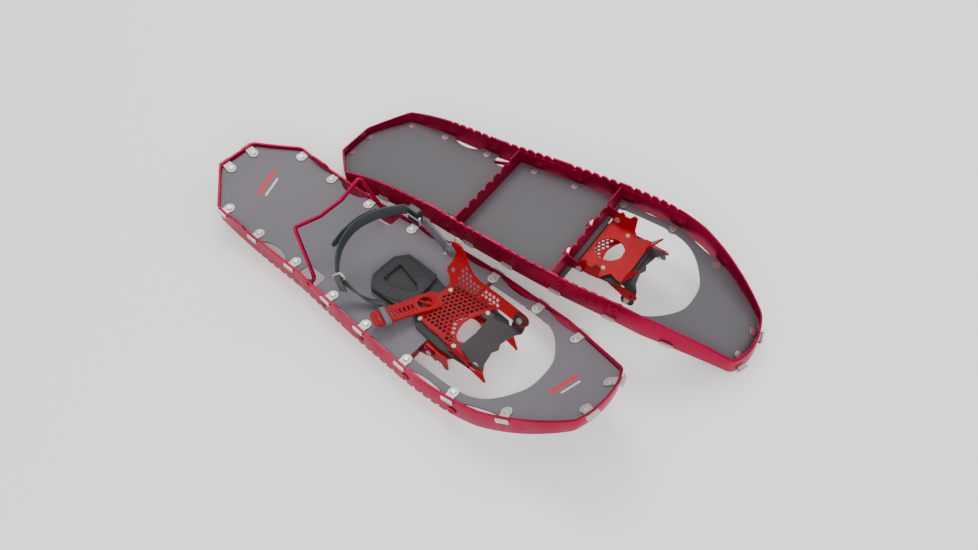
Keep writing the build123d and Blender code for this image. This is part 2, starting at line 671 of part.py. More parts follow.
# ---- binding base with its heel pad ----
base_top = BASE_BOTTOM + BASE_THICK
with BuildPart() as binding_base:
    with BuildSketch(Plane.XY.offset(BASE_BOTTOM)):
        with BuildLine():
            half = Polyline(
                (PAD_FRONT_X - 10, 0), (PAD_FRONT_X - 10, PAD_HALF - 2), NECK,
                (REAR_RIVET[0] + 4, BASE_HALF - 5),
                (BASE_WINDOW_REAR_X + 20, BASE_HALF), (BASE_FRONT_X - 10, BASE_HALF - 3),
                (BASE_FRONT_X, BASE_HALF - 12), (BASE_FRONT_X, 0),
            )
            mirror(half, about=Plane.XZ)
        make_face()
        window_middle = (BASE_WINDOW_REAR_X + BASE_WINDOW_FRONT_X) / 2
        with Locations((window_middle, 0)):
            RectangleRounded(
                BASE_WINDOW_FRONT_X - BASE_WINDOW_REAR_X, 2 * BASE_WINDOW_HALF, 14, mode=Mode.SUBTRACT
            )
    extrude(amount=BASE_THICK)
    with BuildSketch(Plane.XY.offset(BASE_BOTTOM)) as pad_plan:
        with BuildLine():
            half = Polyline(
                (PAD_REAR_X, 0), (PAD_REAR_X, PAD_HALF * 0.55), (PAD_REAR_X + 13, PAD_HALF),
                (PAD_FRONT_X - 5, PAD_HALF - 2), (PAD_FRONT_X, 0),
            )
            mirror(half, about=Plane.XZ)
        make_face()
        fillet(pad_plan.vertices().filter_by(lambda v: abs(v.Y) > 1), 5)
    extrude(amount=PAD_THICK)
    with BuildSketch(Plane.XY.offset(BASE_BOTTOM + PAD_THICK)):
        with BuildLine():
            half = Polyline(
                (PAD_REAR_X + 15, 0), (PAD_REAR_X + 15, PAD_HALF * 0.45),
                (PAD_FRONT_X - 14, 6), (PAD_FRONT_X - 8, 0),
            )
            mirror(half, about=Plane.XZ)
        make_face()
    extrude(amount=-PAD_RECESS_DEPTH, mode=Mode.SUBTRACT)
    front_spots = [(FRONT_RIVET[0], side * FRONT_RIVET[1]) for side in (1, -1)]
    rear_spots = [(REAR_RIVET[0], side * REAR_RIVET[1]) for side in (1, -1)]
    with BuildSketch(Plane.XY.offset(PLATE_TOP)):
        with Locations(*front_spots):
            Circle(BOSS_RADIUS)
    extrude(amount=BASE_BOTTOM - PLATE_TOP)
    with BuildSketch(Plane.XY.offset(PLATE_TOP)):
        with Locations(*front_spots, *rear_spots):
            Circle(RIVET_RADIUS + HOLE_PLAY)
    extrude(amount=2 * PAD_THICK, mode=Mode.SUBTRACT)
    with BuildSketch(Plane.XY.offset(BASE_BOTTOM)):
        with Locations(*tab_spots):
            Circle(RIVET_HEAD + 1)
    extrude(amount=RIVET_HEAD_HEIGHT, mode=Mode.SUBTRACT)
shoe["binding_base"] = binding_base

# ---- toe plate with its two turned-up wings ----
with BuildPart() as toe_plate:
    with BuildSketch(Plane.XY.offset(base_top)) as toe_plan:
        with BuildLine():
            half = Polyline(
                (TOE_REAR_X + 2, 0), (TOE_REAR_X, FRONT_RIVET[1] - TOE_TAB_RADIUS),
                (FRONT_RIVET[0], FRONT_RIVET[1] - 6), (FRONT_RIVET[0], FRONT_RIVET[1] + 6),
                (TOE_REAR_X + 8, FRONT_RIVET[1] - 2),
                (WING_REAR_X, WING_ROOT_Y), (WING_FRONT_X, WING_ROOT_Y), (TOE_FRONT_X, WING_ROOT_Y - 10),
                (TOE_FRONT_X - 4, 8), (TOE_FRONT_X, 0),
            )
            mirror(half, about=Plane.XZ)
        make_face()
        with Locations(*front_spots):
            Circle(TOE_TAB_RADIUS)
            Circle(RIVET_RADIUS + HOLE_PLAY, mode=Mode.SUBTRACT)
    extrude(amount=TOE_THICK)
    wing_rise = WING_TOP_Z - base_top
    wing_out = WING_TOP_Y - WING_ROOT_Y
    wing_middle = (WING_REAR_X + WING_FRONT_X) / 2
    wing_planes = []
    wing_length = sqrt(wing_rise**2 + wing_out**2)
    screw_at = wing_length - SCREW_INSET
    for side in (1, -1):
        upward = Vector(0, side * wing_out, wing_rise).normalized()
        outward = Vector(0, side * wing_rise, -wing_out).normalized()
        foot = Vector(wing_middle, side * (WING_ROOT_Y - 1), base_top)
        wing_planes.append(Plane(foot, x_dir=upward, z_dir=outward))
        with BuildSketch(wing_planes[-1]):
            with Locations((wing_length / 2, 0)):
                RectangleRounded(wing_length, WING_FRONT_X - WING_REAR_X, 5)
            with Locations((screw_at, 0)):
                Circle(SCREW_RADIUS + HOLE_PLAY, mode=Mode.SUBTRACT)
        extrude(amount=TOE_THICK)
shoe["toe_plate"] = toe_plate

# ---- rivets of the base: the front pair also holds the crampon plate and the toe plate ----
with BuildPart() as base_rivets:
    stacks = [(spot, PLATE_TOP - SHEET, base_top + TOE_THICK) for spot in front_spots]
    stacks += [(spot, BASE_BOTTOM, base_top + MESH_THICK) for spot in rear_spots]
    for spot, low, high in stacks:
        with BuildSketch(Plane.XY.offset(low)):
            with Locations(spot):
                Circle(RIVET_RADIUS)
        extrude(amount=high - low)
        with BuildSketch(Plane.XY.offset(high)):
            with Locations(spot):
                Circle(RIVET_HEAD)
        extrude(amount=RIVET_HEAD_HEIGHT, taper=30)
        if low < 0:
            with BuildSketch(Plane.XY.offset(low)):
                with Locations(spot):
                    Circle(RIVET_HEAD)
            extrude(amount=-RIVET_HEAD_HEIGHT, taper=30)
shoe["base_rivets"] = base_rivets

# ---- screws that hold the mesh arms on the wings ----
arm_seat = MESH_THICK + 0.2
with BuildPart() as toe_screws:
    for plane in wing_planes:
        with BuildSketch(plane.offset(-3)):
            with Locations((screw_at, 0)):
                Circle(SCREW_RADIUS)
        extrude(amount=TOE_THICK + arm_seat + 4)
        for height, thick in ((-2, 2), (TOE_THICK + arm_seat, 1.6)):
            with BuildSketch(plane.offset(height)):
                with Locations((screw_at, 0)):
                    Circle(SCREW_HEAD)
            extrude(amount=thick)
shoe["toe_screws"] = toe_screws


def bar_between(start, end, width, thick, across):
    """Straight flat bar from start to end; `across` is the direction of its width."""
    start = Vector(*start)
    run = Vector(*end) - start
    with BuildPart(mode=Mode.PRIVATE) as bar:
        with BuildSketch(Plane(start, x_dir=across, z_dir=run)):
            Rectangle(width, thick)
        extrude(amount=run.length)
    return bar.part


# ---- pieces that lie differently on the two shoes ----
def posed_pieces(press, bail_angle):
    """Bail, mesh, straps and strap hardware.

    `press` scales the soft heights above the base: under the upturned shoe they are pressed flat.
    """
    pieces = {}
    lean = radians(bail_angle)
    bail_plane = Plane((BAIL_X, 0, BAIL_Z), x_dir=(0, 1, 0), z_dir=(sin(lean), 0, cos(lean)))
    foot_end = bail_rim + BAIL_FOOT_PROUD
    with BuildPart() as heel_lift_bail:
        with BuildLine(bail_plane):
            FilletPolyline(
                (foot_end, 0), (BAIL_FOOT_HALF, 0), (BAIL_BAR_HALF, BAIL_LEG),
                (BAIL_BAR_HALF / 3, BAIL_LEG - BAIL_DIP), (-BAIL_BAR_HALF / 3, BAIL_LEG - BAIL_DIP),
                (-BAIL_BAR_HALF, BAIL_LEG), (-BAIL_FOOT_HALF, 0), (-foot_end, 0),
                radius=BAIL_BEND,
            )
        with BuildSketch(Plane((BAIL_X, foot_end, BAIL_Z), x_dir=(1, 0, 0), z_dir=(0, -1, 0))):
            Circle(WIRE_RADIUS)
        sweep()
    pieces["heel_lift_bail"] = heel_lift_bail

    wall_top = base_top + (WALL_TOP_Z - base_top) * press
    post_top = base_top + (POST_TOP_Z - base_top) * press
    ankle_z = base_top + (ANKLE_Z - base_top) * press
    heel_z = base_top + (STRAP_BUCKLE_Z - base_top) * press
    left_z = base_top + (STRAP_ADJUSTER_Z - base_top) * press
    screw = wing_planes[0].from_local_coords(Vector(screw_at, 0, TOE_THICK + arm_seat / 2))

    with BuildPart() as forefoot_mesh:
        with BuildSketch(Plane.XY.offset(base_top)):
            with Locations(((MESH_REAR_X + MESH_FRONT_X) / 2, 0)):
                Rectangle(MESH_FRONT_X - MESH_REAR_X, 2 * MESH_HALF)
            with Locations(*rear_spots):
                Circle(RIVET_RADIUS + HOLE_PLAY, mode=Mode.SUBTRACT)
        extrude(amount=MESH_THICK)
        add(bar_between(
            (WALL_MIDDLE_X, MESH_HALF - 1, base_top + MESH_THICK), (WALL_MIDDLE_X, WALL_TOP_Y, wall_top),
            WALL_LENGTH, MESH_THICK, (1, 0, 0),
        ))
        with BuildSketch(Plane.XZ.offset(-WALL_TOP_Y)):
            with BuildLine():
                Polyline(
                    (POST_REAR_X, wall_top + 2), (POST_REAR_X - 1, ankle_z + 6),
                    (POST_TOP_X - POST_TOP_HALF, post_top),
                    (POST_TOP_X + POST_TOP_HALF, post_top), (POST_FRONT_X + 10, wall_top + 8),
                    (MESH_FRONT_X + 2, wall_top - 1), (POST_REAR_X + 22, wall_top - 1), close=True,
                )
            make_face()
            with Locations((ANKLE_X, ankle_z)):
                Circle(ANKLE_RIVET_RADIUS + HOLE_PLAY, mode=Mode.SUBTRACT)
        extrude(amount=MESH_THICK / 2, both=True)
        for side, start in (
            (1, (MESH_FRONT_X - 2, WALL_TOP_Y - 3, wall_top)),
            (-1, (MESH_FRONT_X - 14, -MESH_HALF - 6, base_top + ARM_WIDTH / 2 + 0.5)),
        ):
            end = Vector(screw.X - EYE_RADIUS, side * (screw.Y + 0.6), screw.Z)
            add(bar_between(start, end, ARM_WIDTH, MESH_THICK, (0, side * wing_out, wing_rise)))
        add(bar_between(
            (MESH_EAR_X, -MESH_HALF + 1, base_top + MESH_THICK),
            (MESH_EAR_X, -MESH_HALF - 8, base_top + TOE_THICK + RIVET_HEAD_HEIGHT + 2),
            MESH_EAR_WIDTH, MESH_THICK, (1, 0, 0),
        ))
        with BuildSketch(*[plane.offset(TOE_THICK + 0.1) for plane in wing_planes]):
            with Locations((screw_at, 0)):
                Circle(EYE_RADIUS)
                Circle(SCREW_RADIUS + HOLE_PLAY, mode=Mode.SUBTRACT)
        extrude(amount=MESH_THICK)
    pieces["forefoot_mesh"] = forefoot_mesh

    ladder_run = Vector(*LADDER_END) - Vector(*LADDER_ROOT)
    across = ladder_run.cross(Vector(0, 0, 1)).normalized()
    with BuildPart() as forefoot_strap:
        add(bar_between(LADDER_ROOT, LADDER_END, LADDER_WIDTH, STRAP_THICK, across))
        slot_plane = Plane(LADDER_ROOT, x_dir=ladder_run, z_dir=ladder_run.cross(across))
        with BuildSketch(slot_plane):
            with Locations((LADDER_WINDOW_AT, 0)):
                SlotOverall(*LADDER_WINDOW)
            for i in range(LADDER_SLOTS):
                with Locations((LADDER_FIRST_SLOT + i * LADDER_SLOT_PITCH, 0)):
                    Rectangle(*LADDER_SLOT)
        extrude(amount=STRAP_THICK, both=True, mode=Mode.SUBTRACT)
    pieces["forefoot_strap"] = forefoot_strap

    with BuildPart() as strap_keeper:
        spot = Vector(*LADDER_ROOT) + ladder_run.normalized() * KEEPER_AT
        with BuildSketch(Plane(spot, x_dir=across, z_dir=ladder_run)):
            grow = 2 * (KEEPER_PLAY + KEEPER_WALL)
            Rectangle(LADDER_WIDTH + grow, STRAP_THICK + grow)
            Rectangle(LADDER_WIDTH + 2 * KEEPER_PLAY, STRAP_THICK + 2 * KEEPER_PLAY, mode=Mode.SUBTRACT)
        extrude(amount=KEEPER_LENGTH)
    pieces["strap_keeper"] = strap_keeper

    post_y = WALL_TOP_Y - MESH_THICK / 2 - 0.6 - ANKLE_POST_THICK / 2
    post_end = Vector(POST_END_X, post_y, heel_z + 2)
    post_foot = Vector(ANKLE_X, post_y, ankle_z)
    with BuildPart() as ankle_post:
        wide = (post_end - post_foot).cross(Vector(0, 1, 0)).normalized()
        add(bar_between(post_foot, post_end, ANKLE_POST_WIDTH, ANKLE_POST_THICK, wide))
        with BuildSketch(Plane.XZ.offset(-post_y)):
            with Locations((ANKLE_X, ankle_z)):
                Circle(ANKLE_DISC)
        extrude(amount=ANKLE_POST_THICK / 2, both=True)
        with BuildSketch(Plane.XZ.offset(-post_y)):
            with Locations((ANKLE_X, ankle_z)):
                Circle(ANKLE_RIVET_RADIUS + RUNNING_PLAY)
        extrude(amount=2 * ANKLE_POST_THICK, both=True, mode=Mode.SUBTRACT)
    pieces["ankle_post"] = ankle_post

    with BuildPart() as ankle_rivet:
        inner = post_y - ANKLE_POST_THICK / 2 - 0.4
        outer = WALL_TOP_Y + MESH_THICK / 2
        with BuildSketch(Plane.XZ.offset(-inner)):
            with Locations((ANKLE_X, ankle_z)):
                Circle(ANKLE_RIVET_RADIUS)
        extrude(amount=-(outer - inner))
        for start, step in ((inner, -1.6), (outer, 1.6)):
            with BuildSketch(Plane.XZ.offset(-start)):
                with Locations((ANKLE_X, ankle_z)):
                    Circle(ANKLE_HEAD)
            extrude(amount=-step)
    pieces["ankle_rivet"] = ankle_rivet

    drop = atan2(heel_z - left_z, 2 * WALL_TOP_Y)
    heel_centre = (0, 0, (heel_z + left_z) / 2)
    heel_plane = Plane(heel_centre, x_dir=(1, 0, 0), z_dir=(0, -sin(drop), cos(drop)))
    buckle_x = post_end.X - BUCKLE_LENGTH - POST_TO_BUCKLE
    with BuildPart() as heel_strap:
        with BuildSketch(heel_plane.offset(-HEEL_WIDTH / 2)):
            with BuildLine() as loop:
                Spline(
                    (buckle_x - 0.6, post_y), (HEEL_TOP_REAR_X * 0.83, post_y * 0.6), (HEEL_TOP_REAR_X, 0),
                    (HEEL_TOP_REAR_X * 0.85, -post_y * 0.72), (ADJUSTER_X, -post_y - 3),
                    tangents=((-1, 0.1), (0.75, -0.66)),
                )
            trace(line_width=HEEL_THICK)
        extrude(amount=HEEL_WIDTH)
    pieces["heel_strap"] = heel_strap

    buckle_middle = Vector(buckle_x + BUCKLE_LENGTH / 2, post_y, heel_z + 2)
    with BuildPart() as heel_buckle:
        with BuildSketch(Plane.XZ.offset(-post_y)):
            with Locations((buckle_middle.X, buckle_middle.Z)):
                Rectangle(BUCKLE_LENGTH, BUCKLE_WIDTH)
        extrude(amount=BUCKLE_THICK / 2, both=True)
        fillet(heel_buckle.edges().filter_by(Axis.Y), 3)
        with BuildSketch(Plane.YZ.offset(buckle_x - 1)):
            with Locations((post_y, buckle_middle.Z)):
                Rectangle(HEEL_THICK + 1, HEEL_WIDTH + 3)
        extrude(amount=7, mode=Mode.SUBTRACT)
    pieces["heel_buckle"] = heel_buckle

    with BuildPart() as buckle_prong:
        prong_y = post_y - BUCKLE_THICK / 2 - PRONG_RADIUS - 0.4
        with BuildSketch(Plane.YZ.offset(buckle_x + 2)):
            with Locations((prong_y, buckle_middle.Z)):
                Circle(PRONG_RADIUS)
        extrude(amount=BUCKLE_LENGTH + 2)
        with BuildSketch(Plane.XY.offset(buckle_middle.Z - 6)):
            with Locations((buckle_x + BUCKLE_LENGTH + 3.5, prong_y)):
                Circle(PRONG_RADIUS * 1.25)
        extrude(amount=12)
    pieces["buckle_prong"] = buckle_prong

    left_end = Vector(ADJUSTER_X, -post_y - 3, 0)
    adjuster_at = heel_plane.from_local_coords(left_end)
    strap_low = Vector(*STRAP_LOW, base_top + STRAP_LOW_RISE)
    down = (strap_low - adjuster_at).normalized()
    with BuildPart() as strap_adjuster:
        head = adjuster_at + down * ADJUSTER_GAP
        with BuildSketch(Plane(head, x_dir=(down.Y, -down.X, 0), z_dir=down)):
            Rectangle(HEEL_WIDTH + 2 * ADJUSTER_WALL, ADJUSTER_THICK)
            Rectangle(HEEL_WIDTH, ADJUSTER_SLOT, mode=Mode.SUBTRACT)
        extrude(amount=ADJUSTER_LENGTH)
    pieces["strap_adjuster"] = strap_adjuster

    with BuildPart() as adjuster_strap:
        top = adjuster_at + down * (ADJUSTER_GAP + ADJUSTER_LENGTH + 0.4)
        flat = STRAP_THICK - 0.6
        across = (down.Y, -down.X, 0)
        add(bar_between(top, strap_low, HEEL_WIDTH - 2, flat, across))
        add(bar_between(strap_low, STRAP_ANCHOR, HEEL_WIDTH - 4, flat, across))
    pieces["adjuster_strap"] = adjuster_strap

    with BuildPart() as strap_hook:
        with BuildLine(Plane.XZ.offset(-WALL_TOP_Y)) as hook_path:
            rise = Line((POST_TOP_X - HOOK_RADIUS, post_top), (POST_TOP_X - HOOK_RADIUS, post_top + 2))
            curl = RadiusArc(rise @ 1, (POST_TOP_X + HOOK_RADIUS, post_top + 2), HOOK_RADIUS)
            Line(curl @ 1, (POST_TOP_X + HOOK_RADIUS, post_top + 0.8))
        with BuildSketch(Plane((POST_TOP_X - HOOK_RADIUS, WALL_TOP_Y, post_top), z_dir=(0, 0, 1))):
            Circle(HOOK_WIRE)
        sweep()
    pieces["strap_hook"] = strap_hook
    return pieces


# ---- both shoes in their places ----
tail_top = deck_height(TAIL_X) + RAIL_ABOVE
nose_top = deck_height(NOSE_X) + RAIL_ABOVE
left_pitch = atan2(nose_top - tail_top, NOSE_X - TAIL_X)
# The left shoe is turned upside down about X, then tipped so that tail and nose touch the ground.
left_turn = Location((0, 0, 0), (180, 0, 0))
left_tip = Location((0, 0, 0), (0, -degrees(left_pitch), 0))
left_aim = Location((*SHOE_SPACING, 0), (0, 0, LEFT_HEADING))

placed = {}
for name, piece in {**shoe, **posed_pieces(STRAP_PRESS["right"], BAIL_REST["right"])}.items():
    placed["right_" + name] = piece.part
for name, piece in {**shoe, **posed_pieces(STRAP_PRESS["left"], BAIL_REST["left"])}.items():
    mirrored = mirror(piece.part, about=Plane.XZ)
    placed["left_" + name] = mirrored.moved(left_aim * left_tip * left_turn)

left_names = [name for name in placed if name.startswith("left_")]
left_drop = -BLADE_DEPTH - min(placed[name].bounding_box().min.Z for name in left_names)
for name in left_names:
    placed[name] = placed[name].moved(Location((0, 0, left_drop)))

# The origin is on the ground under the middle of the pair.
boxes = [part.bounding_box() for part in placed.values()]
low = Vector(min(b.min.X for b in boxes), min(b.min.Y for b in boxes), min(b.min.Z for b in boxes))
high = Vector(max(b.max.X for b in boxes), max(b.max.Y for b in boxes), max(b.max.Z for b in boxes))
pair_shift = Location((-(low.X + high.X) / 2, -(low.Y + high.Y) / 2, -low.Z))
for name, part in placed.items():
    finished = part.moved(pair_shift)
    finished.label = name
    export_step(finished, f"parts/{name}.step")
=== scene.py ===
"""Looks for a pair of snowshoes: materials on the CAD nodes and detailed soft pieces around them.

Soft pieces are drawn in each shoe's own frame, in millimetres: origin in the middle of the deck,
+X to the toe, +Z up. A shoe's matrix then carries them to the row frame, in metres.
"""

import json
from math import atan2, cos, pi, radians, sin, sqrt

import bmesh
import bpy
from mathutils import Matrix, Vector, noise
from mathutils.geometry import delaunay_2d_cdt


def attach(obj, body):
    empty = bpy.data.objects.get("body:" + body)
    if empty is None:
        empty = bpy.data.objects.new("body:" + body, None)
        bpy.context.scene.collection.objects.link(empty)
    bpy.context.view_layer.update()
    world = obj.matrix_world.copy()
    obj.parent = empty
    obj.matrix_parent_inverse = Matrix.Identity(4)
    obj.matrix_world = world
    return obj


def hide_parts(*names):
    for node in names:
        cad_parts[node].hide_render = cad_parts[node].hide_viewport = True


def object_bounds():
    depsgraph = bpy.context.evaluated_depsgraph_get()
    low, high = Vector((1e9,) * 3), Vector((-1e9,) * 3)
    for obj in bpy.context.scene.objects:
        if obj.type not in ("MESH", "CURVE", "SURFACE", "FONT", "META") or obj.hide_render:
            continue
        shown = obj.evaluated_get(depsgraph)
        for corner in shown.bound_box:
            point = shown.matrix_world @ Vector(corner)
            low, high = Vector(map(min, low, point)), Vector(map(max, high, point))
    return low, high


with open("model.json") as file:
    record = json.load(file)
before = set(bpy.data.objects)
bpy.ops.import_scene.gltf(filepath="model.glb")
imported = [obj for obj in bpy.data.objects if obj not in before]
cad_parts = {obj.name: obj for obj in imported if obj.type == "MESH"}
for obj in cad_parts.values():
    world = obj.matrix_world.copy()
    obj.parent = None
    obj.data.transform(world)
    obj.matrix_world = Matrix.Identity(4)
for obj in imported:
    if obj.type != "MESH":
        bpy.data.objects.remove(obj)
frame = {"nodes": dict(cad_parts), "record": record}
CAD_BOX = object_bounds()
MM = 0.001

# ---- facts of the CAD model, in a shoe's own frame, mm ----
BAIL_PIVOT = Vector((-87.0, 0.0, 0.8))
BINDING_PIVOT = Vector((98.0, 0.0, -8.0))
BASE_TOP = 5.0
CLIP_SPOTS_X = (-262.0, -200.0, -126.0, -50.0, 14.0, 88.0, 164.0, 236.0)
RIM_POINTS = (
    (-330.0, 28.0), (-272.0, 77.0), (-110.0, 78.5), (90.0, 92.5), (205.0, 85.5), (310.0, 44.0), (330.0, 20.0),
)
CLIP_INSET = 12.0
END_CLIPS = ((-310.0, 20.0), (309.0, 26.0))
POST_Y = 58.1
ANKLE = (34.0, 39.0)
POST_END = (-8.0, 64.0)
BUCKLE_X = -33.5
STRAP_TURN_X = -72.0
ADJUSTER_X = -44.0
LADDER_ROOT = Vector((57.0, 2.0, 8.4))
LADDER_END = Vector((26.0, -74.0, 18.0))
KEEPER_AT = 62.0
KEEPER_LENGTH = 8.0
PRESS = {"right": 1.0, "left": 0.5}


def joint_place(name):
    """Pivot of a joint in the row frame, in metres."""
    for joint in frame["record"]["behaviour"]["joints"]:
        if joint["name"] == name:
            return Vector(joint["pos_m"])
    raise KeyError(name)


def shoe_matrix(side):
    """From a shoe's own frame (mm) to the row frame (m). The left shoe is turned over and mirrored."""
    up = 1 if side == "right" else -1
    bail = joint_place(side + "_heel_lift")
    run = joint_place(side + "_binding_pivot") - bail
    own_run = BINDING_PIVOT - BAIL_PIVOT
    pitch = atan2(run.z, run.xy.length) - atan2(up * own_run.z, own_run.x)
    turn = (
        Matrix.Rotation(atan2(run.y, run.x), 4, "Z")
        @ Matrix.Rotation(-pitch, 4, "Y")
        @ Matrix.Diagonal((MM, MM, up * MM, 1))
    )
    return Matrix.Translation(bail - turn @ BAIL_PIVOT) @ turn


SHOES = {side: shoe_matrix(side) for side in ("right", "left")}


def pressed(side, z):
    """Height of a soft point: above the base it is pressed down on the upturned shoe."""
    return BASE_TOP + (z - BASE_TOP) * PRESS[side]


# ======================= materials =======================
def srgb(red, green, blue):
    """Linear colour of an 8-bit sRGB one."""
    linear = []
    for value in (red, green, blue):
        c = value / 255
        linear.append(c / 12.92 if c <= 0.04045 else ((c + 0.055) / 1.055) ** 2.4)
    return (*linear, 1.0)


def shade(color, factor):
    """A darker or lighter version of a linear colour."""
    return (*[min(1.0, c * factor) for c in color[:3]], 1.0)


class Finish:
    """A material under construction: short calls that add and join nodes."""

    def __init__(self, name, **shader):
        self.material = bpy.data.materials.new(name)
        self.material.use_nodes = True
        self.nodes = self.material.node_tree.nodes
        self.links = self.material.node_tree.links
        self.shader = self.nodes["Principled BSDF"]
        for key, value in shader.items():
            self.shader.inputs[key.replace("_", " ")].default_value = value
        coords = self.nodes.new("ShaderNodeTexCoord")
        self.place = coords.outputs["Object"]
        self.flat = coords.outputs["UV"]

    def node(self, kind, **values):
        made = self.nodes.new("ShaderNode" + kind)
        for key, value in values.items():
            setattr(made, key, value)
        return made

    def feed(self, socket, value):
        if isinstance(value, bpy.types.NodeSocket):
            self.links.new(value, socket)
        else:
            socket.default_value = value

    def stretched(self, scale, source=None):
        made = self.node("Mapping")
        self.feed(made.inputs["Vector"], source or self.place)
        made.inputs["Scale"].default_value = scale
        return made.outputs["Vector"]

    def noise(self, scale, detail=4.0, rough=0.55, source=None):
        made = self.node("TexNoise")
        self.feed(made.inputs["Vector"], source or self.place)
        made.inputs["Scale"].default_value = scale
        made.inputs["Detail"].default_value = detail
        made.inputs["Roughness"].default_value = rough
        return made.outputs["Fac"]

    def cells(self, scale, feature="F1", source=None):
        made = self.node("TexVoronoi", feature=feature)
        self.feed(made.inputs["Vector"], source or self.place)
        made.inputs["Scale"].default_value = scale
        return made.outputs["Distance"]

    def wave(self, scale, direction="X", source=None, warp=0.0):
        made = self.node("TexWave", wave_type="BANDS", bands_direction=direction)
        self.feed(made.inputs["Vector"], source or self.place)
        made.inputs["Scale"].default_value = scale
        made.inputs["Distortion"].default_value = warp
        return made.outputs["Fac"]

    def math(self, operation, first, second=0.0, clamp=False):
        made = self.node("Math", operation=operation, use_clamp=clamp)
        self.feed(made.inputs[0], first)
        self.feed(made.inputs[1], second)
        return made.outputs[0]

    def ramp(self, source, low, high, start=0.0, end=1.0):
        made = self.node("MapRange")
        self.feed(made.inputs["Value"], source)
        for key, value in (("From Min", start), ("From Max", end), ("To Min", low), ("To Max", high)):
            made.inputs[key].default_value = value
        return made.outputs["Result"]

    def blend(self, factor, first, second):
        made = self.node("Mix", data_type="RGBA")
        self.feed(made.inputs[0], factor)
        self.feed(made.inputs[6], first)
        self.feed(made.inputs[7], second)
        return made.outputs[2]

    def color(self, value):
        self.feed(self.shader.inputs["Base Color"], value)

    def roughness(self, value):
        self.feed(self.shader.inputs["Roughness"], value)

    def bump(self, *layers):
        """Each layer is (height socket, strength, depth in metres)."""
        normal = None
        for height, strength, depth in layers:
            made = self.node("Bump")
            made.inputs["Strength"].default_value = strength
            made.inputs["Distance"].default_value = depth
            self.feed(made.inputs["Height"], height)
            if normal:
                self.feed(made.inputs["Normal"], normal)
            normal = made.outputs["Normal"]
        self.feed(self.shader.inputs["Normal"], normal)


def coated_metal(name, color, metallic, rough, speckle=1.0, coat=0.2, shine=0.35):
    """Anodised or powder-coated metal: cloudy colour, orange-peel skin, small scuffs."""
    f = Finish(name, Metallic=metallic, Coat_Weight=coat, Coat_Roughness=0.25, Specular_IOR_Level=shine)
    cloud = f.noise(28.0, 5.0)
    scuff = f.ramp(f.noise(1.0, 8.0, 0.7, f.stretched((90.0, 260.0, 420.0))), 0.0, 1.0, 0.62, 0.74)
    tone = f.blend(f.ramp(cloud, 0.0, 1.0, 0.3, 0.7), shade(color, 0.86), shade(color, 1.1))
    f.color(f.blend(f.math("MULTIPLY", scuff, 0.16 * speckle), tone, shade(color, 2.2)))
    grain = f.noise(900.0, 2.0)
    f.roughness(f.math("ADD", f.ramp(grain, rough - 0.06, rough + 0.08), f.math("MULTIPLY", scuff, 0.12)))
    f.bump((grain, 0.25, 0.00012), (cloud, 0.12, 0.0006))
    return f.material


def bare_metal(name, color, rough, blasted=True, metallic=0.6):
    """Blasted or brushed bare metal with stains and fine scratches."""
    f = Finish(name, Metallic=metallic)
    source = None if blasted else f.stretched((60.0, 900.0, 900.0))
    grain = f.noise(1400.0 if blasted else 1.0, 3.0, 0.6, source)
    stain = f.noise(70.0, 5.0, 0.65)
    f.color(f.blend(f.ramp(stain, 0.0, 1.0, 0.35, 0.75), color, shade(color, 0.7)))
    f.roughness(f.ramp(grain, rough - 0.1, rough + 0.12, 0.3, 0.7))
    f.bump((grain, 0.35, 0.00015), (stain, 0.1, 0.0004))
    return f.material


def moulded(name, color, rough, pebble=700.0, depth=0.00018, sheen=0.0, shine=0.4):
    """Moulded elastomer or plastic: pebbled skin, flow marks and rubbed lighter patches."""
    f = Finish(name, Specular_IOR_Level=shine, Sheen_Weight=sheen, Sheen_Roughness=0.4)
    skin = f.cells(pebble)
    flow = f.noise(22.0, 6.0, 0.6)
    rub = f.ramp(f.noise(95.0, 6.0, 0.7), 0.0, 1.0, 0.55, 0.8)
    tone = f.blend(f.ramp(flow, 0.0, 1.0, 0.3, 0.7), shade(color, 0.84), shade(color, 1.12))
    f.color(f.blend(f.math("MULTIPLY", rub, 0.3), tone, shade(color, 1.5)))
    f.roughness(f.ramp(flow, rough - 0.07, rough + 0.07, 0.3, 0.7))
    f.bump((skin, 0.3, depth), (flow, 0.15, 0.0007))
    return f.material


def deck_fabric(name, color, marks):
    """Coated cloth: plain weave under a satin coat, rubbed haze, and plain stripes near the two ends."""
    f = Finish(name, Specular_IOR_Level=0.35, Sheen_Weight=0.12, Sheen_Roughness=0.45)
    warp = f.wave(420.0, "X", f.flat, 0.15)
    weft = f.wave(420.0, "Y", f.flat, 0.15)
    weave = f.math("MULTIPLY", warp, weft)
    haze = f.noise(9.0, 6.0, 0.6)
    fleck = f.noise(520.0, 2.0)
    tone = f.blend(f.ramp(haze, 0.0, 1.0, 0.3, 0.7), shade(color, 0.92), shade(color, 1.08))
    tone = f.blend(f.ramp(fleck, 0.0, 0.3, 0.45, 0.75), tone, shade(color, 1.28))
    tone = f.blend(f.ramp(weave, 0.0, 0.22), tone, shade(color, 0.7))
    if marks:
        axes = f.node("SeparateXYZ")
        f.feed(axes.inputs[0], f.flat)
        for centre_x, centre_y, half_x, half_y, lean, ink in marks:
            along = f.math("SUBTRACT", axes.outputs[0], centre_x)
            across = f.math("SUBTRACT", axes.outputs[1], centre_y)
            along = f.math("ADD", along, f.math("MULTIPLY", across, lean))
            inside_x = f.math("LESS_THAN", f.math("ABSOLUTE", along), half_x)
            inside_y = f.math("LESS_THAN", f.math("ABSOLUTE", across), half_y)
            tone = f.blend(f.math("MULTIPLY", inside_x, inside_y), tone, ink)
    f.color(tone)
    f.roughness(f.ramp(haze, 0.46, 0.6, 0.3, 0.7))
    f.bump((weave, 0.3, 0.00015), (fleck, 0.25, 0.0001), (haze, 0.1, 0.0015))
    return f.material


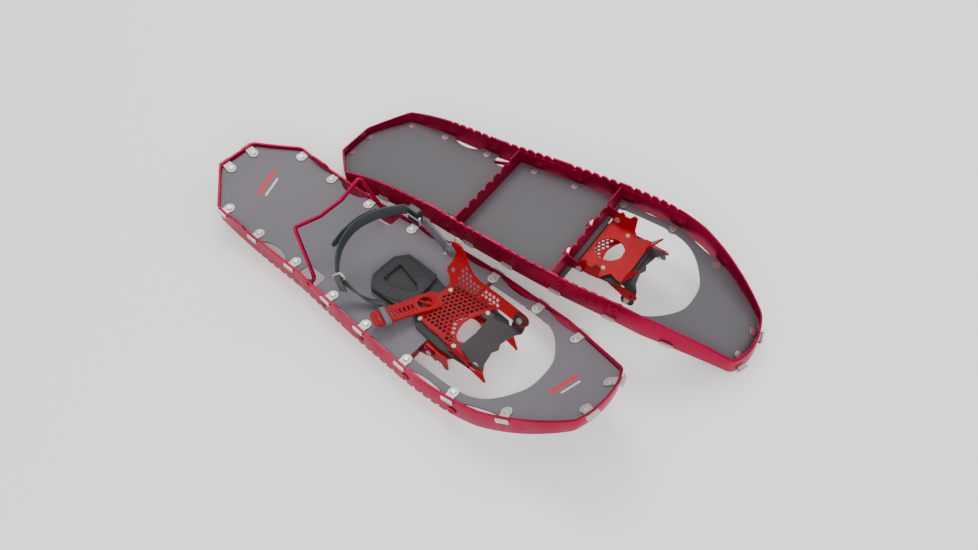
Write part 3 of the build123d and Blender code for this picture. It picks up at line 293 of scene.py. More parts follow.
RASPBERRY = srgb(162, 1, 58)
BINDING_RED = srgb(160, 2, 18)
INK_RED = srgb(206, 36, 50)
INK_PALE = srgb(214, 214, 216)
TOP_MARKS = (
    (-0.262, 0.0, 0.0032, 0.022, 0.35, INK_RED),
    (-0.251, 0.0, 0.0016, 0.016, 0.35, INK_PALE),
    (0.262, 0.0, 0.0032, 0.018, -0.35, INK_RED),
    (0.272, 0.0, 0.0014, 0.012, -0.35, INK_PALE),
)

MATERIALS = {
    "rail": coated_metal("anodised_raspberry", RASPBERRY, 0.8, 0.42, 1.0, 0.02, 0.2),
    "strip": coated_metal("coated_crossmember", shade(RASPBERRY, 0.85), 0.7, 0.45, 0.7, 0.02, 0.2),
    "crampon": coated_metal("powder_coat_red", BINDING_RED, 0.25, 0.4, 0.5, 0.04, 0.2),
    "toe": coated_metal("dark_coated_steel", srgb(52, 45, 48), 0.1, 0.5, 0.35, 0.04, 0.3),
    "clip": bare_metal("blasted_clip", srgb(196, 193, 186), 0.42),
    "rivet": bare_metal("bright_rivet", srgb(206, 204, 200), 0.28, metallic=0.85),
    "steel": bare_metal("brushed_steel", srgb(188, 184, 176), 0.32, blasted=False),
    "bronze": bare_metal("bronzed_steel", srgb(170, 156, 138), 0.38, blasted=False),
    "base": moulded("moulded_base", srgb(48, 51, 52), 0.56, 600.0, shine=0.25),
    "pad": moulded("heel_pad_rubber", srgb(54, 57, 58), 0.62, 480.0, 0.00025, shine=0.25),
    "mesh": moulded("red_elastomer", srgb(158, 3, 18), 0.5, 900.0, 0.0001, 0.0, 0.18),
    "strap": moulded("dark_strap", srgb(50, 57, 60), 0.5, 800.0, 0.00014, 0.05),
    "post": moulded("grey_strap", srgb(92, 92, 98), 0.46, 800.0, 0.00012, 0.05),
    "black": moulded("black_plastic", srgb(30, 33, 35), 0.38, 900.0, 0.0001, 0.0, 0.5),
    "deck_right": deck_fabric("deck_fabric_top", srgb(106, 102, 109), TOP_MARKS),
    "deck_left": deck_fabric("deck_fabric_under", srgb(90, 87, 92), ()),
}
NODE_FINISH = {
    "frame_rail": "rail",
    "deck_clips": "clip",
    "deck_rivets": "rivet",
    "rear_crossmember": "strip",
    "front_crossmember": "strip",
    "crossmember_rivets": "rail",
    "bail_grommets": "black",
    "hinge_pins": "steel",
    "crampon_plate": "crampon",
    "binding_base": "base",
    "toe_plate": "toe",
    "base_rivets": "bronze",
    "toe_screws": "steel",
    "ankle_rivet": "rivet",
    "strap_hook": "clip",
    "heel_buckle": "black",
    "buckle_prong": "steel",
    "heel_lift_bail": "rail",
}
EDGE_WIDTH = {
    "frame_rail": 0.5, "deck_clips": 0.35, "deck_rivets": 0.4, "crampon_plate": 0.5, "binding_base": 0.9,
    "toe_plate": 0.5, "heel_buckle": 0.8, "front_crossmember": 0.4, "rear_crossmember": 0.4,
    "crossmember_rivets": 0.5, "base_rivets": 0.4, "toe_screws": 0.5, "ankle_rivet": 0.5,
}


def dress_nodes():
    """Materials and softened edges on the CAD nodes that keep their shape."""
    for side in SHOES:
        for name, finish in NODE_FINISH.items():
            node = frame["nodes"][f"{side}_{name}"]
            node.data.materials.clear()
            node.data.materials.append(MATERIALS[finish])
            width = EDGE_WIDTH.get(name)
            if width:
                weld = node.modifiers.new("weld", "WELD")
                weld.merge_threshold = 0.00001
                soften = node.modifiers.new("soften", "BEVEL")
                soften.width = width * MM
                soften.segments = 2
                soften.limit_method = "ANGLE"
                soften.angle_limit = radians(38)
                soften.harden_normals = True
                soften.use_clamp_overlap = True


# ======================= mesh helpers =======================
def settle(side, name, verts, faces, finish, body, slot, replaces=(), flat=None, sharp=40.0):
    """Makes a piece from points in the shoe's own frame and hangs it on a body."""
    matrix = SHOES[side]
    placed = [matrix @ Vector(v) for v in verts]
    if side == "left":
        faces = [tuple(reversed(face)) for face in faces]
    mesh = bpy.data.meshes.new(f"{side}_{name}")
    mesh.from_pydata(placed, [], faces)
    if flat:
        layer = mesh.uv_layers.new(name="flat")
        for loop in mesh.loops:
            layer.data[loop.index].uv = flat[loop.vertex_index]
    mesh.polygons.foreach_set("use_smooth", [True] * len(mesh.polygons))
    mesh.set_sharp_from_angle(angle=radians(sharp))
    mesh.materials.append(MATERIALS[finish])
    piece = bpy.data.objects.new(f"{side}_{name}", mesh)
    bpy.context.scene.collection.objects.link(piece)
    if replaces:
        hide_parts(*[f"{side}_{node}" for node in replaces])
    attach(piece, f"{side}_{body}")
    return piece


def thicken(piece, thickness, edge=0.0, offset=1.0, group=None):
    """Solidify and a small round on the cut edges."""
    solid = piece.modifiers.new("thickness", "SOLIDIFY")
    solid.thickness = thickness * MM
    solid.offset = offset
    solid.use_even_offset = True
    if group:
        solid.vertex_group = group
        solid.thickness_vertex_group = 0.55
    if edge:
        soften = piece.modifiers.new("soften", "BEVEL")
        soften.width = edge * MM
        soften.segments = 2
        soften.limit_method = "ANGLE"
        soften.angle_limit = radians(50)
        soften.harden_normals = True


def smooth_loop(points, step=2.0, closed=True):
    """Catmull-Rom curve through 2-D or 3-D points, sampled about every `step`."""
    points = [Vector(p) for p in points]
    count = len(points)
    curve = []
    for i in range(count if closed else count - 1):
        if closed:
            a, b, c, d = (points[(i + k - 1) % count] for k in range(4))
        else:
            b, c = points[i], points[i + 1]
            a = points[i - 1] if i else b * 2 - c
            d = points[i + 2] if i + 2 < count else c * 2 - b
        pieces = max(1, round((c - b).length / step))
        for k in range(pieces):
            t = k / pieces
            squared = (2 * a - 5 * b + 4 * c - d) * t * t
            cubed = (3 * b - a - 3 * c + d) * t**3
            curve.append(0.5 * (2 * b + (c - a) * t + squared + cubed))
    if not closed:
        curve.append(points[-1])
    return curve


def inside(point, loop):
    """Even-odd test of a 2-D point in a closed loop."""
    x, y = point[0], point[1]
    within = False
    for i, a in enumerate(loop):
        b = loop[i - 1]
        if (a[1] > y) != (b[1] > y) and x < (b[0] - a[0]) * (y - a[1]) / (b[1] - a[1]) + a[0]:
            within = not within
    return within


def edge_distance(point, loop):
    """Distance from a 2-D point to a closed loop."""
    p = Vector(point[:2])
    best = 1e9
    for i, a in enumerate(loop):
        b = loop[i - 1]
        run = Vector(a[:2]) - Vector(b[:2])
        t = max(0.0, min(1.0, (p - Vector(b[:2])).dot(run) / max(run.length_squared, 1e-9)))
        best = min(best, (Vector(b[:2]) + run * t - p).length)
    return best


def rounded_hexagon(centre, radius, turn=0.0, squash=1.0):
    """Twelve points of a hexagon with blunted corners."""
    loop = []
    for k in range(12):
        angle = turn + k * pi / 6
        reach = radius * (1.0 if k % 2 else 0.965)
        loop.append(Vector((centre[0] + reach * cos(angle) * squash, centre[1] + reach * sin(angle))))
    return loop


def sheet_mesh(outline, holes, step):
    """Triangles of a flat sheet with holes. Returns its points and its triangles."""
    points = [Vector(p[:2]) for p in outline]
    edges = [(i, (i + 1) % len(points)) for i in range(len(points))]
    for hole in holes:
        first = len(points)
        points += [Vector(p[:2]) for p in hole]
        edges += [(first + i, first + (i + 1) % len(hole)) for i in range(len(hole))]
    low = [min(p[k] for p in outline) for k in (0, 1)]
    high = [max(p[k] for p in outline) for k in (0, 1)]
    reach = [(sum((Vector(p[:2]) for p in hole), Vector((0, 0))) / len(hole)) for hole in holes]
    widest = [max((Vector(p[:2]) - c).length for p in hole) for hole, c in zip(holes, reach)]
    row = 0
    y = low[1]
    while y < high[1]:
        x = low[0] + (row % 2) * step / 2
        while x < high[0]:
            spot = Vector((x, y))
            clear = all((spot - c).length > w + step * 0.35 for c, w in zip(reach, widest))
            if clear and inside(spot, outline) and edge_distance(spot, outline) > step * 0.4:
                points.append(spot)
            x += step
        y += step * 0.866
        row += 1
    made = delaunay_2d_cdt(points, edges, [], 0, 1e-5)
    verts = [Vector(v) for v in made[0]]
    faces = []
    for face in made[2]:
        centre = sum((verts[i] for i in face), Vector((0, 0))) / len(face)
        if not inside(centre, outline):
            continue
        if any((centre - c).length < w and inside(centre, hole) for hole, c, w in zip(holes, reach, widest)):
            continue
        faces.append(tuple(face))
    used = sorted({i for face in faces for i in face})
    index = {old: new for new, old in enumerate(used)}
    return [verts[i] for i in used], [tuple(index[i] for i in face) for face in faces]


def sweep(path, across, width, thick, bulge=0.0):
    """Strap with rounded edges along 3-D points. `across` gives the width direction at each point."""
    section = []
    corners = 5
    for cx, cy, start in ((1, 1, 0), (-1, 1, 90), (-1, -1, 180), (1, -1, 270)):
        for k in range(corners):
            angle = radians(start + 90 * k / (corners - 1))
            section.append((cx, cy, cos(angle), sin(angle)))
    verts, faces = [], []
    count = len(path)
    for i, point in enumerate(path):
        forward = (path[min(i + 1, count - 1)] - path[max(i - 1, 0)]).normalized()
        wide = across[i] - forward * across[i].dot(forward)
        wide.normalize()
        out = forward.cross(wide)
        w = width[i] / 2
        t = thick[i] / 2
        r = min(w, t) * 0.75
        for cx, cy, ex, ey in section:
            along_w = cx * (w - r) + ex * r
            along_t = cy * (t - r) + ey * r + bulge * cy * (1 - (along_w / w) ** 2)
            verts.append(point + wide * along_w + out * along_t)
    ring = len(section)
    for i in range(count - 1):
        for k in range(ring):
            a = i * ring + k
            b = i * ring + (k + 1) % ring
            faces.append((a, b, b + ring, a + ring))
    faces.append(tuple(reversed(range(ring))))
    faces.append(tuple(range((count - 1) * ring, count * ring)))
    return verts, faces


def joined(*parts):
    """Several (verts, faces) as one."""
    verts, faces = [], []
    for part_verts, part_faces in parts:
        start = len(verts)
        verts += list(part_verts)
        faces += [tuple(i + start for i in face) for face in part_faces]
    return verts, faces


# ======================= deck =======================
def rim_half(x):
    """Half width of the frame at x."""
    for (x0, y0), (x1, y1) in zip(RIM_POINTS, RIM_POINTS[1:]):
        if x <= x1:
            return y0 + (y1 - y0) * (x - x0) / (x1 - x0)
    return RIM_POINTS[-1][1]


CLIP_SPOTS = [(x, s * (rim_half(x) - CLIP_INSET)) for x in CLIP_SPOTS_X for s in (1, -1)]
CLIP_SPOTS += [(x, s * y) for x, y in END_CLIPS for s in (1, -1)]


def deck_wave(x, y):
    """Shallow waves of the fabric, still at the clips and under the binding."""
    near = min(sqrt((x - cx) ** 2 + (y - cy) ** 2) for cx, cy in CLIP_SPOTS)
    free = max(0.0, min(1.0, (near - 12.0) / 22.0))
    binding = 1.0 if -45 < x < 100 and abs(y) < 60 else 0.0
    drift = noise.noise(Vector((x * 0.014, y * 0.02, 3.7))) * 0.75
    ripple = noise.noise(Vector((x * 0.05, y * 0.04, 9.1))) * 0.22
    return free * (drift + ripple) * (1.0 - 0.75 * binding)


def make_deck(side):
    """The fabric: the CAD deck's outline, cut into small squares, slightly wavy."""
    node = frame["nodes"][f"{side}_deck"]
    back = SHOES[side].inverted()
    sheet = bmesh.new()
    sheet.from_mesh(node.data)
    bmesh.ops.remove_doubles(sheet, verts=sheet.verts, dist=0.000005)
    bmesh.ops.transform(sheet, matrix=back, verts=sheet.verts)
    bmesh.ops.dissolve_limit(sheet, angle_limit=radians(0.2), verts=sheet.verts, edges=sheet.edges)
    for axis, reach in ((0, 324), (1, 90)):
        normal = Vector((1, 0, 0)) if axis == 0 else Vector((0, 1, 0))
        for k in range(-reach, reach, 9):
            everything = sheet.verts[:] + sheet.edges[:] + sheet.faces[:]
            bmesh.ops.bisect_plane(sheet, geom=everything, plane_co=normal * k, plane_no=normal, dist=0.01)
    bmesh.ops.triangulate(sheet, faces=[f for f in sheet.faces if len(f.verts) > 4])
    for vert in sheet.verts:
        vert.co.z += deck_wave(vert.co.x, vert.co.y)
    if side == "left":
        bmesh.ops.reverse_faces(sheet, faces=sheet.faces)
    verts = [v.co.copy() for v in sheet.verts]
    faces = [tuple(v.index for v in f.verts) for f in sheet.faces]
    cut_area = sum(f.calc_area() for f in sheet.faces if abs(f.normal.z) > 0.5) / 2
    sheet.free()
    flat = [(v.x * MM, v.y * MM) for v in verts]
    piece = settle(side, "deck_fabric", verts, faces, f"deck_{side}", "frame", "deck", ("deck",), flat)


# ======================= forefoot mesh =======================
FLOOR_HALF = 32.0
FOLD = 9.0
FOLD_ANGLE = radians(50)
WALL_RUN = 23.8
CURL = 30.0
CURL_END = radians(85)
FLOOR_Z = 6.3


def wall_point(side, x, v):
    """Point of the mesh's mid surface: v runs across the floor and up either side wall."""
    reach = abs(v)
    if reach <= FLOOR_HALF:
        y, z = reach, FLOOR_Z
    else:
        reach -= FLOOR_HALF
        angle = min(reach / FOLD, FOLD_ANGLE)
        y = FLOOR_HALF + FOLD * sin(angle)
        z = FLOOR_Z + FOLD * (1 - cos(angle))
        reach -= FOLD * FOLD_ANGLE
        if reach > 0:
            run = min(reach, WALL_RUN)
            y += run * cos(FOLD_ANGLE)
            z += run * sin(FOLD_ANGLE)
            reach -= WALL_RUN
        if reach > 0:
            turn = min(FOLD_ANGLE + reach / CURL, CURL_END)
            y += CURL * (sin(turn) - sin(FOLD_ANGLE))
            z += CURL * (cos(FOLD_ANGLE) - cos(turn))
            reach -= CURL * (CURL_END - FOLD_ANGLE)
        if reach > 0:
            y += reach * cos(CURL_END)
            z += reach * sin(CURL_END)
    taper = max(0.0, x - 120.0) / 50.0
    y -= 3.4 * taper * (1 if abs(v) > FLOOR_HALF else 0)
    z += 1.2 * max(0.0, 1 - ((x - 88) / 34) ** 2) * (1 if abs(v) < FLOOR_HALF else 0)
    return Vector((x, y if v >= 0 else -y, pressed(side, z)))


MESH_OUTLINE = (
    (63, -29), (80, -32), (100, -33), (124, -40), (146, -50), (162, -57), (173, -57), (176, -50), (169, -45),
    (152, -41), (138, -34), (126, -27), (113, -17), (108, 0), (111, 15), (118, 27), (123, 38), (130, 45),
    (146, 46), (160, 46), (170, 46), (176, 53), (171, 60), (156, 61), (134, 61), (110, 61), (88, 62),
    (73, 67),
    (62, 78), (56, 89), (50, 93), (41, 93), (36, 88), (37, 79), (43, 67), (43, 60), (41, 54), (43, 48),
    (50, 43), (55, 32), (54, 16), (50, 4), (52, -10), (57, -22),
)
HOLE_PITCH = 6.4
HOLE_RADIUS = 2.35
EAR_HOLE = (49.5, 53.5)
SCREW_EYES = ((168.5, -52.0), (168.5, 53.0))


def make_mesh(side):
    """The perforated red wrap: floor, leaning wall, post and the two arms to the toe screws."""
    outline = smooth_loop(MESH_OUTLINE, 2.0)
    holes = [rounded_hexagon(EAR_HOLE, 3.3)] + [rounded_hexagon(eye, 2.2) for eye in SCREW_EYES]
    row = 0
    v = -40.0
    while v < 66.0:
        x = 50.0 + (row % 2) * HOLE_PITCH / 2
        while x < 128.0:
            spot = Vector((x, v))
            solid_root = x < 62 or v > 66
            far = (spot - Vector(EAR_HOLE)).length > 9
            if not solid_root and far and inside(spot, outline) and edge_distance(spot, outline) > 4.6:
                holes.append(rounded_hexagon(spot, HOLE_RADIUS, pi / 12))
            x += HOLE_PITCH
        v += HOLE_PITCH * 0.866
        row += 1
    flat, faces = sheet_mesh(outline, holes, 2.6)
    verts = [wall_point(side, p.x, p.y) for p in flat]
    piece = settle(side, "forefoot_wrap", verts, faces, "mesh", "binding", "mesh", ("forefoot_mesh",))
    rim = piece.vertex_groups.new(name="rim")
    for i, p in enumerate(flat):
        away = edge_distance(p, outline)
        rim.add([i], max(0.0, 1.0 - away / 2.6), "REPLACE")
    thicken(piece, 2.4, 0.25, 0.0, "rim")
    return piece


# ======================= ladder strap and keeper =======================
LADDER_HALF = 11.6
LADDER_SLOTS = 9
LADDER_FIRST_SLOT = 29.0
LADDER_PITCH = 5.6
LADDER_RUN = (LADDER_END - LADDER_ROOT).length


def ladder_point(s, w, lift=0.0):
    """Point of the ladder strap: s along it from the mesh, w across it."""
    run = (LADDER_END - LADDER_ROOT).normalized()
    across = run.cross(Vector((0, 0, 1))).normalized()
    up = across.cross(run)
    arch = 0.9 * sin(pi * max(0.0, min(1.0, s / LADDER_RUN))) - 1.2 * max(0.0, -s / 10)
    return LADDER_ROOT + run * s + across * w + up * (arch + lift)


def make_ladder_strap(side):
    """Moulded strap with a wide root window and a ladder of slots, and its raised border."""
    half = [(-9, 7), (-4, 13), (6, 13.8), (16, 13.4), (24, 12.2), (50, 11.7), (77, 11.2), (82.5, 8)]
    outline = smooth_loop([(s, w) for s, w in half] + [(s, -w) for s, w in reversed(half)], 2.2)
    corners = [(2.5, 0), (6, 7.4), (14.5, 8.0), (21, 3.4), (21, -3.4), (14.5, -8.0), (6, -7.4)]
    window = smooth_loop(corners, 1.6)
    holes = [window]
    for k in range(LADDER_SLOTS):
        s = LADDER_FIRST_SLOT + LADDER_PITCH * k
        holes.append([Vector((s + a, b)) for a, b in ((-1.0, -3.6), (1.0, -3.6), (1.0, 3.6), (-1.0, 3.6))])
    flat, faces = sheet_mesh(outline, holes, 2.6)
    verts = [ladder_point(p.x, p.y) for p in flat]
    piece = settle(side, "ladder_strap", verts, faces, "mesh", "binding", "mesh", ("forefoot_strap",))
    rim = piece.vertex_groups.new(name="rim")
    for i, p in enumerate(flat):
        away = min(edge_distance(p, outline), edge_distance(p, window))
        rim.add([i], 1.0 if away < 1.9 else 0.0, "REPLACE")
    thicken(piece, 3.2, 0.3, 0.0, "rim")
    path = [ladder_point(4.5 + k * 2.2, -6.0 + k * 2.1, 0.2) for k in range(7)]
    up = [Vector((0, 0, 1)).cross(path[-1] - path[0]).normalized()] * len(path)
    bar = sweep(path, up, [2.6] * len(path), [2.2] * len(path))
    settle(side, "window_bar", *bar, "mesh", "binding", "mesh")
    teeth = []
    for k in range(LADDER_SLOTS + 1):
        s = LADDER_FIRST_SLOT + LADDER_PITCH * (k - 0.5)
        line = [ladder_point(s, w, 1.1) for w in (-7.6, -4, 0, 4, 7.6)]
        run = (LADDER_END - LADDER_ROOT).normalized()
        teeth.append(sweep(line, [run] * 5, [1.3] * 5, [1.0] * 5))
    settle(side, "ladder_teeth", *joined(*teeth), "mesh", "binding", "mesh")


def make_keeper(side):
    """Ribbed loop that slides on the ladder strap."""
    loops = []
    half_w = LADDER_HALF + 1.7
    half_t = 3.4
    for offset, grow, width in ((4.0, 0.0, KEEPER_LENGTH), (1.6, 0.5, 1.4), (6.4, 0.5, 1.4)):
        path = []
        for k in range(33):
            angle = 2 * pi * k / 32
            c, s = cos(angle), sin(angle)
            w = (half_w + grow) * (abs(c) ** 0.35) * (1 if c >= 0 else -1)
            t = (half_t + grow) * (abs(s) ** 0.45) * (1 if s >= 0 else -1)
            path.append(ladder_point(KEEPER_AT + offset, w, t))
        run = [(LADDER_END - LADDER_ROOT).normalized()] * len(path)
        loops.append(sweep(path, run, [width] * len(path), [1.5] * len(path)))
    settle(side, "keeper_loop", *joined(*loops), "post", "keeper", "post", ("strap_keeper",))


# ======================= heel strap =======================
def heel_loop(side):
    """Centre line of the heel strap from the buckle round to the adjuster."""
    tops = [
        (BUCKLE_X + 17, POST_Y, 64), (BUCKLE_X + 6, POST_Y, 64), (BUCKLE_X - 6, POST_Y - 1, 63),
        (-48, 49, 62), (-60, 34, 60.5), (-68, 17, 59), (STRAP_TURN_X, 0, 57),
        (-71, -18, 54), (-65, -36, 50.5), (-56, -50, 46), (ADJUSTER_X - 3, -60, 40),
    ]
    return [Vector((x, y, pressed(side, z))) for x, y, z in smooth_loop(tops, 4.0, False)]


def make_heel_strap(side):
    """Strap round the heel, doubled on the outside where its free tail runs back and stands off."""
    path = heel_loop(side)
    count = len(path)
    lean = [Vector((-0.16, 0.0, 1.0)) for _ in path]
    width = [16.0 - 2.5 * (k / count) ** 2 for k in range(count)]
    main = sweep(path, lean, width, [2.6] * count, 0.25)
    centre = Vector((-6.0, 0.0, 0.0))
    tail = []
    first = int(count * 0.36)
    last = int(count * 0.80)
    for k in range(first, last):
        spread = max(0.0, (k - count * 0.60) / (count * 0.20))
        out = (path[k] - centre).xy.normalized()
        gap = 2.9 + 13.0 * spread**1.6
        drop = 6.0 * spread**2 * PRESS[side]
        tail.append(path[k] + Vector((out.x * gap, out.y * gap, -drop)))
    steps = len(tail)
    tail_width = [15.0 * min(1.0, 0.45 + 0.12 * (steps - 1 - k)) for k in range(steps)]
    free = sweep(tail, [Vector((-0.2, 0, 1.0))] * steps, tail_width, [2.1] * steps, 0.15)
    ridges = []
    for lift in (-4.6, 4.6):
        line = []
        for p in path[2:first + 1]:
            line.append(p + Vector((0, 0, lift)) + (p - centre).xy.normalized().to_3d() * 1.35)
        ridges.append(sweep(line, [Vector((0, 0, 1.0))] * len(line), [1.1] * len(line), [0.8] * len(line)))
    settle(side, "heel_band", *joined(main, free, *ridges), "strap", "heel_strap", "strap", ("heel_strap",))


BOSS_PROFILE = (
    (3.4, 1.7), (6.4, 1.9), (8.6, 1.9), (9.2, 2.6), (10.4, 2.6), (11.0, 1.4), (11.0, -1.4), (3.4, -1.4),
)


def make_ankle_post(side):
    """Grey strap piece from the ankle rivet to the buckle, with its round boss and a doubled top band."""
    foot = Vector((ANKLE[0], POST_Y, pressed(side, ANKLE[1])))
    top = Vector((POST_END[0], POST_Y, pressed(side, POST_END[1] - 2) + 2))
    run = (top - foot).normalized()
    wide = run.cross(Vector((0, 1, 0)))
    count = 14
    path = [foot + run * ((top - foot).length * k / (count - 1)) for k in range(count)]
    width = [19.0 - 1.5 * sin(pi * k / (count - 1)) for k in range(count)]
    width[-1] = 17.0
    body = sweep(path, [wide] * count, width, [3.0] * count, 0.3)
    disc = []
    ring = 40
    for radius, rise in BOSS_PROFILE:
        for k in range(ring):
            angle = 2 * pi * k / ring
            disc.append(foot + Vector((radius * cos(angle), -rise, radius * sin(angle))))
    levels = len(disc) // ring
    quads = []
    for level in range(levels):
        for k in range(ring):
            a = level * ring + k
            b = level * ring + (k + 1) % ring
            c = (level + 1) % levels * ring
            quads.append((a, b, c + (k + 1) % ring, c + k))
    bands = []
    for at in (0.74, 0.86, 0.98):
        spot = foot + run * ((top - foot).length * at)
        line = [spot + wide * w + Vector((0, -1.9, 0)) for w in (-8.2, -4, 0, 4, 8.2)]
        bands.append(sweep(line, [run] * 5, [3.2] * 5, [1.2] * 5))
    verts, faces = joined(body, (disc, quads), *bands)
    settle(side, "ankle_strap", verts, faces, "post", "heel_strap", "post", ("ankle_post",))


def make_buckle_trim(side):
    """Cross ribs and side rails on the heel buckle."""
    z = pressed(side, 62) + 2
    y = POST_Y - 3.6
    ribs = []
    for k in range(5):
        x = BUCKLE_X + 2.5 + 3.8 * k
        line = [Vector((x, y, z + h)) for h in (-9.4, -5, 0, 5, 9.4)]
        ribs.append(sweep(line, [Vector((1, 0, 0))] * 5, [1.8] * 5, [1.6] * 5))
    for h in (-10.6, 10.6):
        line = [Vector((BUCKLE_X + x, y - 0.4, z + h)) for x in (0.5, 5, 10, 15, 19.5)]
        ribs.append(sweep(line, [Vector((0, 0, 1))] * 5, [2.4] * 5, [2.6] * 5))
    settle(side, "buckle_ribs", *joined(*ribs), "black", "heel_strap", "buckle")


SLIDE_AT = Vector((-42.5, -61.8, 35.0))
SLIDE_ALONG = Vector((0.72, 0.10, -0.69)).normalized()
SLIDE_WIDE = Vector((0.66, 0.16, 0.73)).normalized()


def make_adjuster_slide(side):
    """Wire slide on the heel strap: a rounded rectangle with a bar across its middle."""
    half_w, half_l, corner = 9.2, 5.2, 2.4
    ring = []
    for cx, cy, start in ((1, 1, 0), (-1, 1, 90), (-1, -1, 180), (1, -1, 270)):
        for k in range(5):
            angle = radians(start + 22.5 * k)
            w = cx * (half_w - corner) + corner * cos(angle)
            along = cy * (half_l - corner) + corner * sin(angle)
            ring.append(SLIDE_AT + SLIDE_WIDE * w + SLIDE_ALONG * along)
    ring.append(ring[0])
    bar = [SLIDE_AT + SLIDE_WIDE * w for w in (-half_w, -4.0, 0.0, 4.0, half_w)]
    out = SLIDE_WIDE.cross(SLIDE_ALONG).normalized()
    wires = []
    for line in (ring, bar):
        line = [Vector((p.x, p.y, pressed(side, p.z))) for p in line]
        wires.append(sweep(line, [out] * len(line), [2.5] * len(line), [2.5] * len(line)))
    settle(side, "adjuster_slide", *joined(*wires), "steel", "heel_strap", "steel", ("strap_adjuster",))


def make_adjuster_strap(side):
    """Strap from the slide down to the base, narrowing and turning flat, and its short cut end."""
    tops = [
        (-43.5, -60.4, 36), (-39, -60.6, 31.5), (-29, -58.6, 23), (-17, -55.6, 14.5),
        (-5, -51.5, 9.3), (5, -46, 7.6), (13, -41.5, 6.6),
    ]
    path = [Vector((x, y, pressed(side, z))) for x, y, z in smooth_loop(tops, 3.5, False)]
    count = len(path)
    across = [SLIDE_WIDE.lerp(Vector((0.45, -0.88, 0.1)), (k / (count - 1)) ** 1.4) for k in range(count)]
    width = [14.5 - 7.5 * (k / (count - 1)) ** 1.3 for k in range(count)]
    main = sweep(path, across, width, [2.0] * count, 0.15)
    ends = [(-44.5, -63.6, 36.5), (-40, -65.2, 31), (-35.5, -66.2, 25), (-32.5, -66.8, 19.5)]
    line = [Vector((x, y, pressed(side, z))) for x, y, z in smooth_loop(ends, 3.0, False)]
    stub = sweep(line, [SLIDE_WIDE] * len(line), [13.5] * len(line), [2.0] * len(line), 0.1)
    settle(side, "adjuster_band", *joined(main, stub), "strap", "binding", "strap", ("adjuster_strap",))


# ======================= heel pad =======================
PAD_TOP = 9.5
PAD_RING = (
    (-27, -17), (-27, 17), (-14, 32), (8, 32), (34, 22), (37, 10), (37, -10), (34, -22), (8, -32), (-14, -32),
)
PAD_BOWL = ((-15, -15), (-15, 15), (12, 12), (27, 5), (27, -5), (12, -12))


def make_pad_trim(side):
    """Raised lip round the heel pad, a lip round its hollow, and ribs across the ring between them."""
    parts = []
    for points, width, rise in ((PAD_RING, 2.6, 1.1), (PAD_BOWL, 1.8, 0.8)):
        loop = smooth_loop([(x, y, PAD_TOP + rise * 0.3) for x, y in points], 2.5)
        loop += loop[:1]
        centre = Vector((4, 0, PAD_TOP))
        across = [(p - centre).normalized() for p in loop]
        parts.append(sweep(loop, across, [width] * len(loop), [rise * 1.6] * len(loop)))
    for angle in range(0, 360, 20):
        a = radians(angle + 10)
        start = Vector((3 + 17.5 * cos(a), 18 * sin(a), PAD_TOP))
        end = Vector((4 + 28 * cos(a), 28.5 * sin(a), PAD_TOP))
        if cos(a) > 0.78:
            continue
        path = [start.lerp(end, k / 4) for k in range(5)]
        wide = (end - start).cross(Vector((0, 0, 1))).normalized()
        parts.append(sweep(path, [wide] * 5, [1.1] * 5, [0.9] * 5))
    settle(side, "heel_pad_lip", *joined(*parts), "pad", "binding", "base")


# ======================= stage =======================
CAMERA_AT = Vector((515.5, -431.2, 876.7)) * MM
CAMERA_AZIMUTH = radians(40.29)
CAMERA_ELEVATION = radians(52.45)
CAMERA_ROLL = radians(0.27)
CAMERA_LENS = 31.29


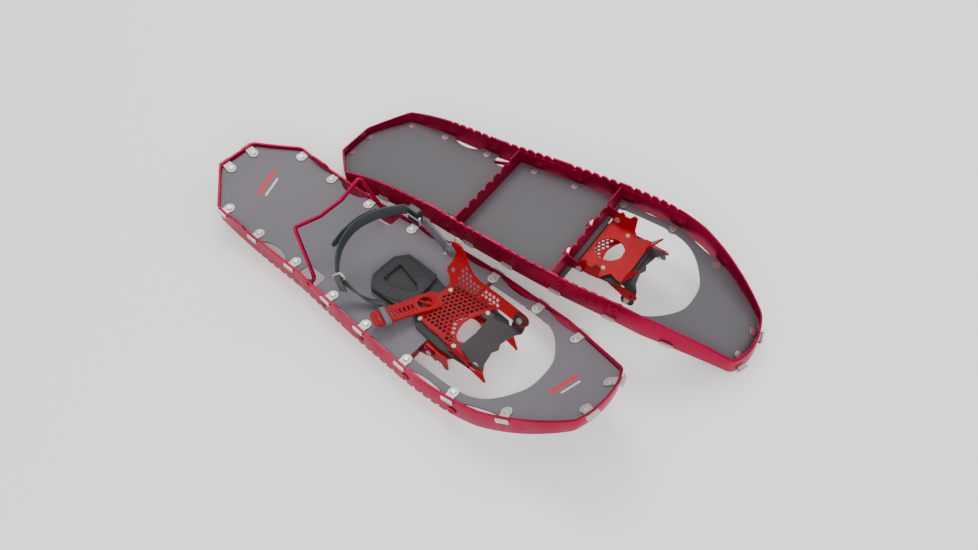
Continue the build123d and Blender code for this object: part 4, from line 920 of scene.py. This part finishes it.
def make_camera():
    """Camera at the photograph's angle, placed from the right shoe's own origin."""
    az, el = CAMERA_AZIMUTH, CAMERA_ELEVATION
    back = Vector((sin(az) * cos(el), -cos(az) * cos(el), sin(el)))
    right = Vector((cos(az), sin(az), 0.0))
    up = back.cross(right)
    turned_right = right * cos(CAMERA_ROLL) + up * sin(CAMERA_ROLL)
    turned_up = up * cos(CAMERA_ROLL) - right * sin(CAMERA_ROLL)
    camera = bpy.data.objects.new("camera", bpy.data.cameras.new("camera"))
    camera.data.lens = CAMERA_LENS
    camera.data.sensor_width = 36.0
    camera.data.clip_start = 0.01
    turn = Matrix((turned_right, turned_up, back)).transposed().to_4x4()
    camera.matrix_world = Matrix.Translation(SHOES["right"].translation + CAMERA_AT) @ turn
    bpy.context.scene.collection.objects.link(camera)
    bpy.context.scene.camera = camera


def make_area_light(name, place, target, size, power):
    light = bpy.data.lights.new(name, "AREA")
    light.shape = "DISK"
    light.size = size
    light.energy = power
    lamp = bpy.data.objects.new(name, light)
    lamp.location = place
    lamp.rotation_mode = "QUATERNION"
    lamp.rotation_quaternion = (Vector(target) - Vector(place)).to_track_quat("-Z", "Y")
    bpy.context.scene.collection.objects.link(lamp)


def make_stage():
    """Pale floor, white surroundings and three soft lights."""
    mesh = bpy.data.meshes.new("floor")
    reach = 12.0
    corners = [(-reach, -reach, 0), (reach, -reach, 0), (reach, reach, 0), (-reach, reach, 0)]
    mesh.from_pydata(corners, [], [(0, 1, 2, 3)])
    floor = bpy.data.objects.new("floor", mesh)
    floor.location.z = CAD_BOX[0].z - 0.0002
    f = Finish("pale_floor", Roughness=0.9, Specular_IOR_Level=0.1)
    f.shader.inputs["Emission Color"].default_value = (1, 1, 1, 1)
    f.shader.inputs["Emission Strength"].default_value = 0.25
    f.color(f.blend(f.noise(3.0), (0.95, 0.95, 0.95, 1), (0.97, 0.97, 0.97, 1)))
    mesh.materials.append(f.material)
    bpy.context.scene.collection.objects.link(floor)
    world = bpy.data.worlds.new("studio")
    world.use_nodes = True
    world.node_tree.nodes["Background"].inputs["Color"].default_value = (1.0, 1.0, 1.0, 1)
    world.node_tree.nodes["Background"].inputs["Strength"].default_value = 0.75
    bpy.context.scene.world = world
    make_area_light("key", (-0.9, 0.7, 1.7), (0, 0, 0), 1.1, 17.0)
    make_area_light("fill", (1.2, -1.3, 1.3), (0, 0, 0), 1.5, 24.0)
    make_area_light("rim", (0.8, 1.5, 1.1), (0, 0, 0), 0.9, 6.0)


dress_nodes()
for side in SHOES:
    make_deck(side)
    make_mesh(side)
    make_ladder_strap(side)
    make_keeper(side)
    make_heel_strap(side)
    make_ankle_post(side)
    make_buckle_trim(side)
    make_adjuster_slide(side)
    make_adjuster_strap(side)
    make_pad_trim(side)
make_camera()
make_stage()
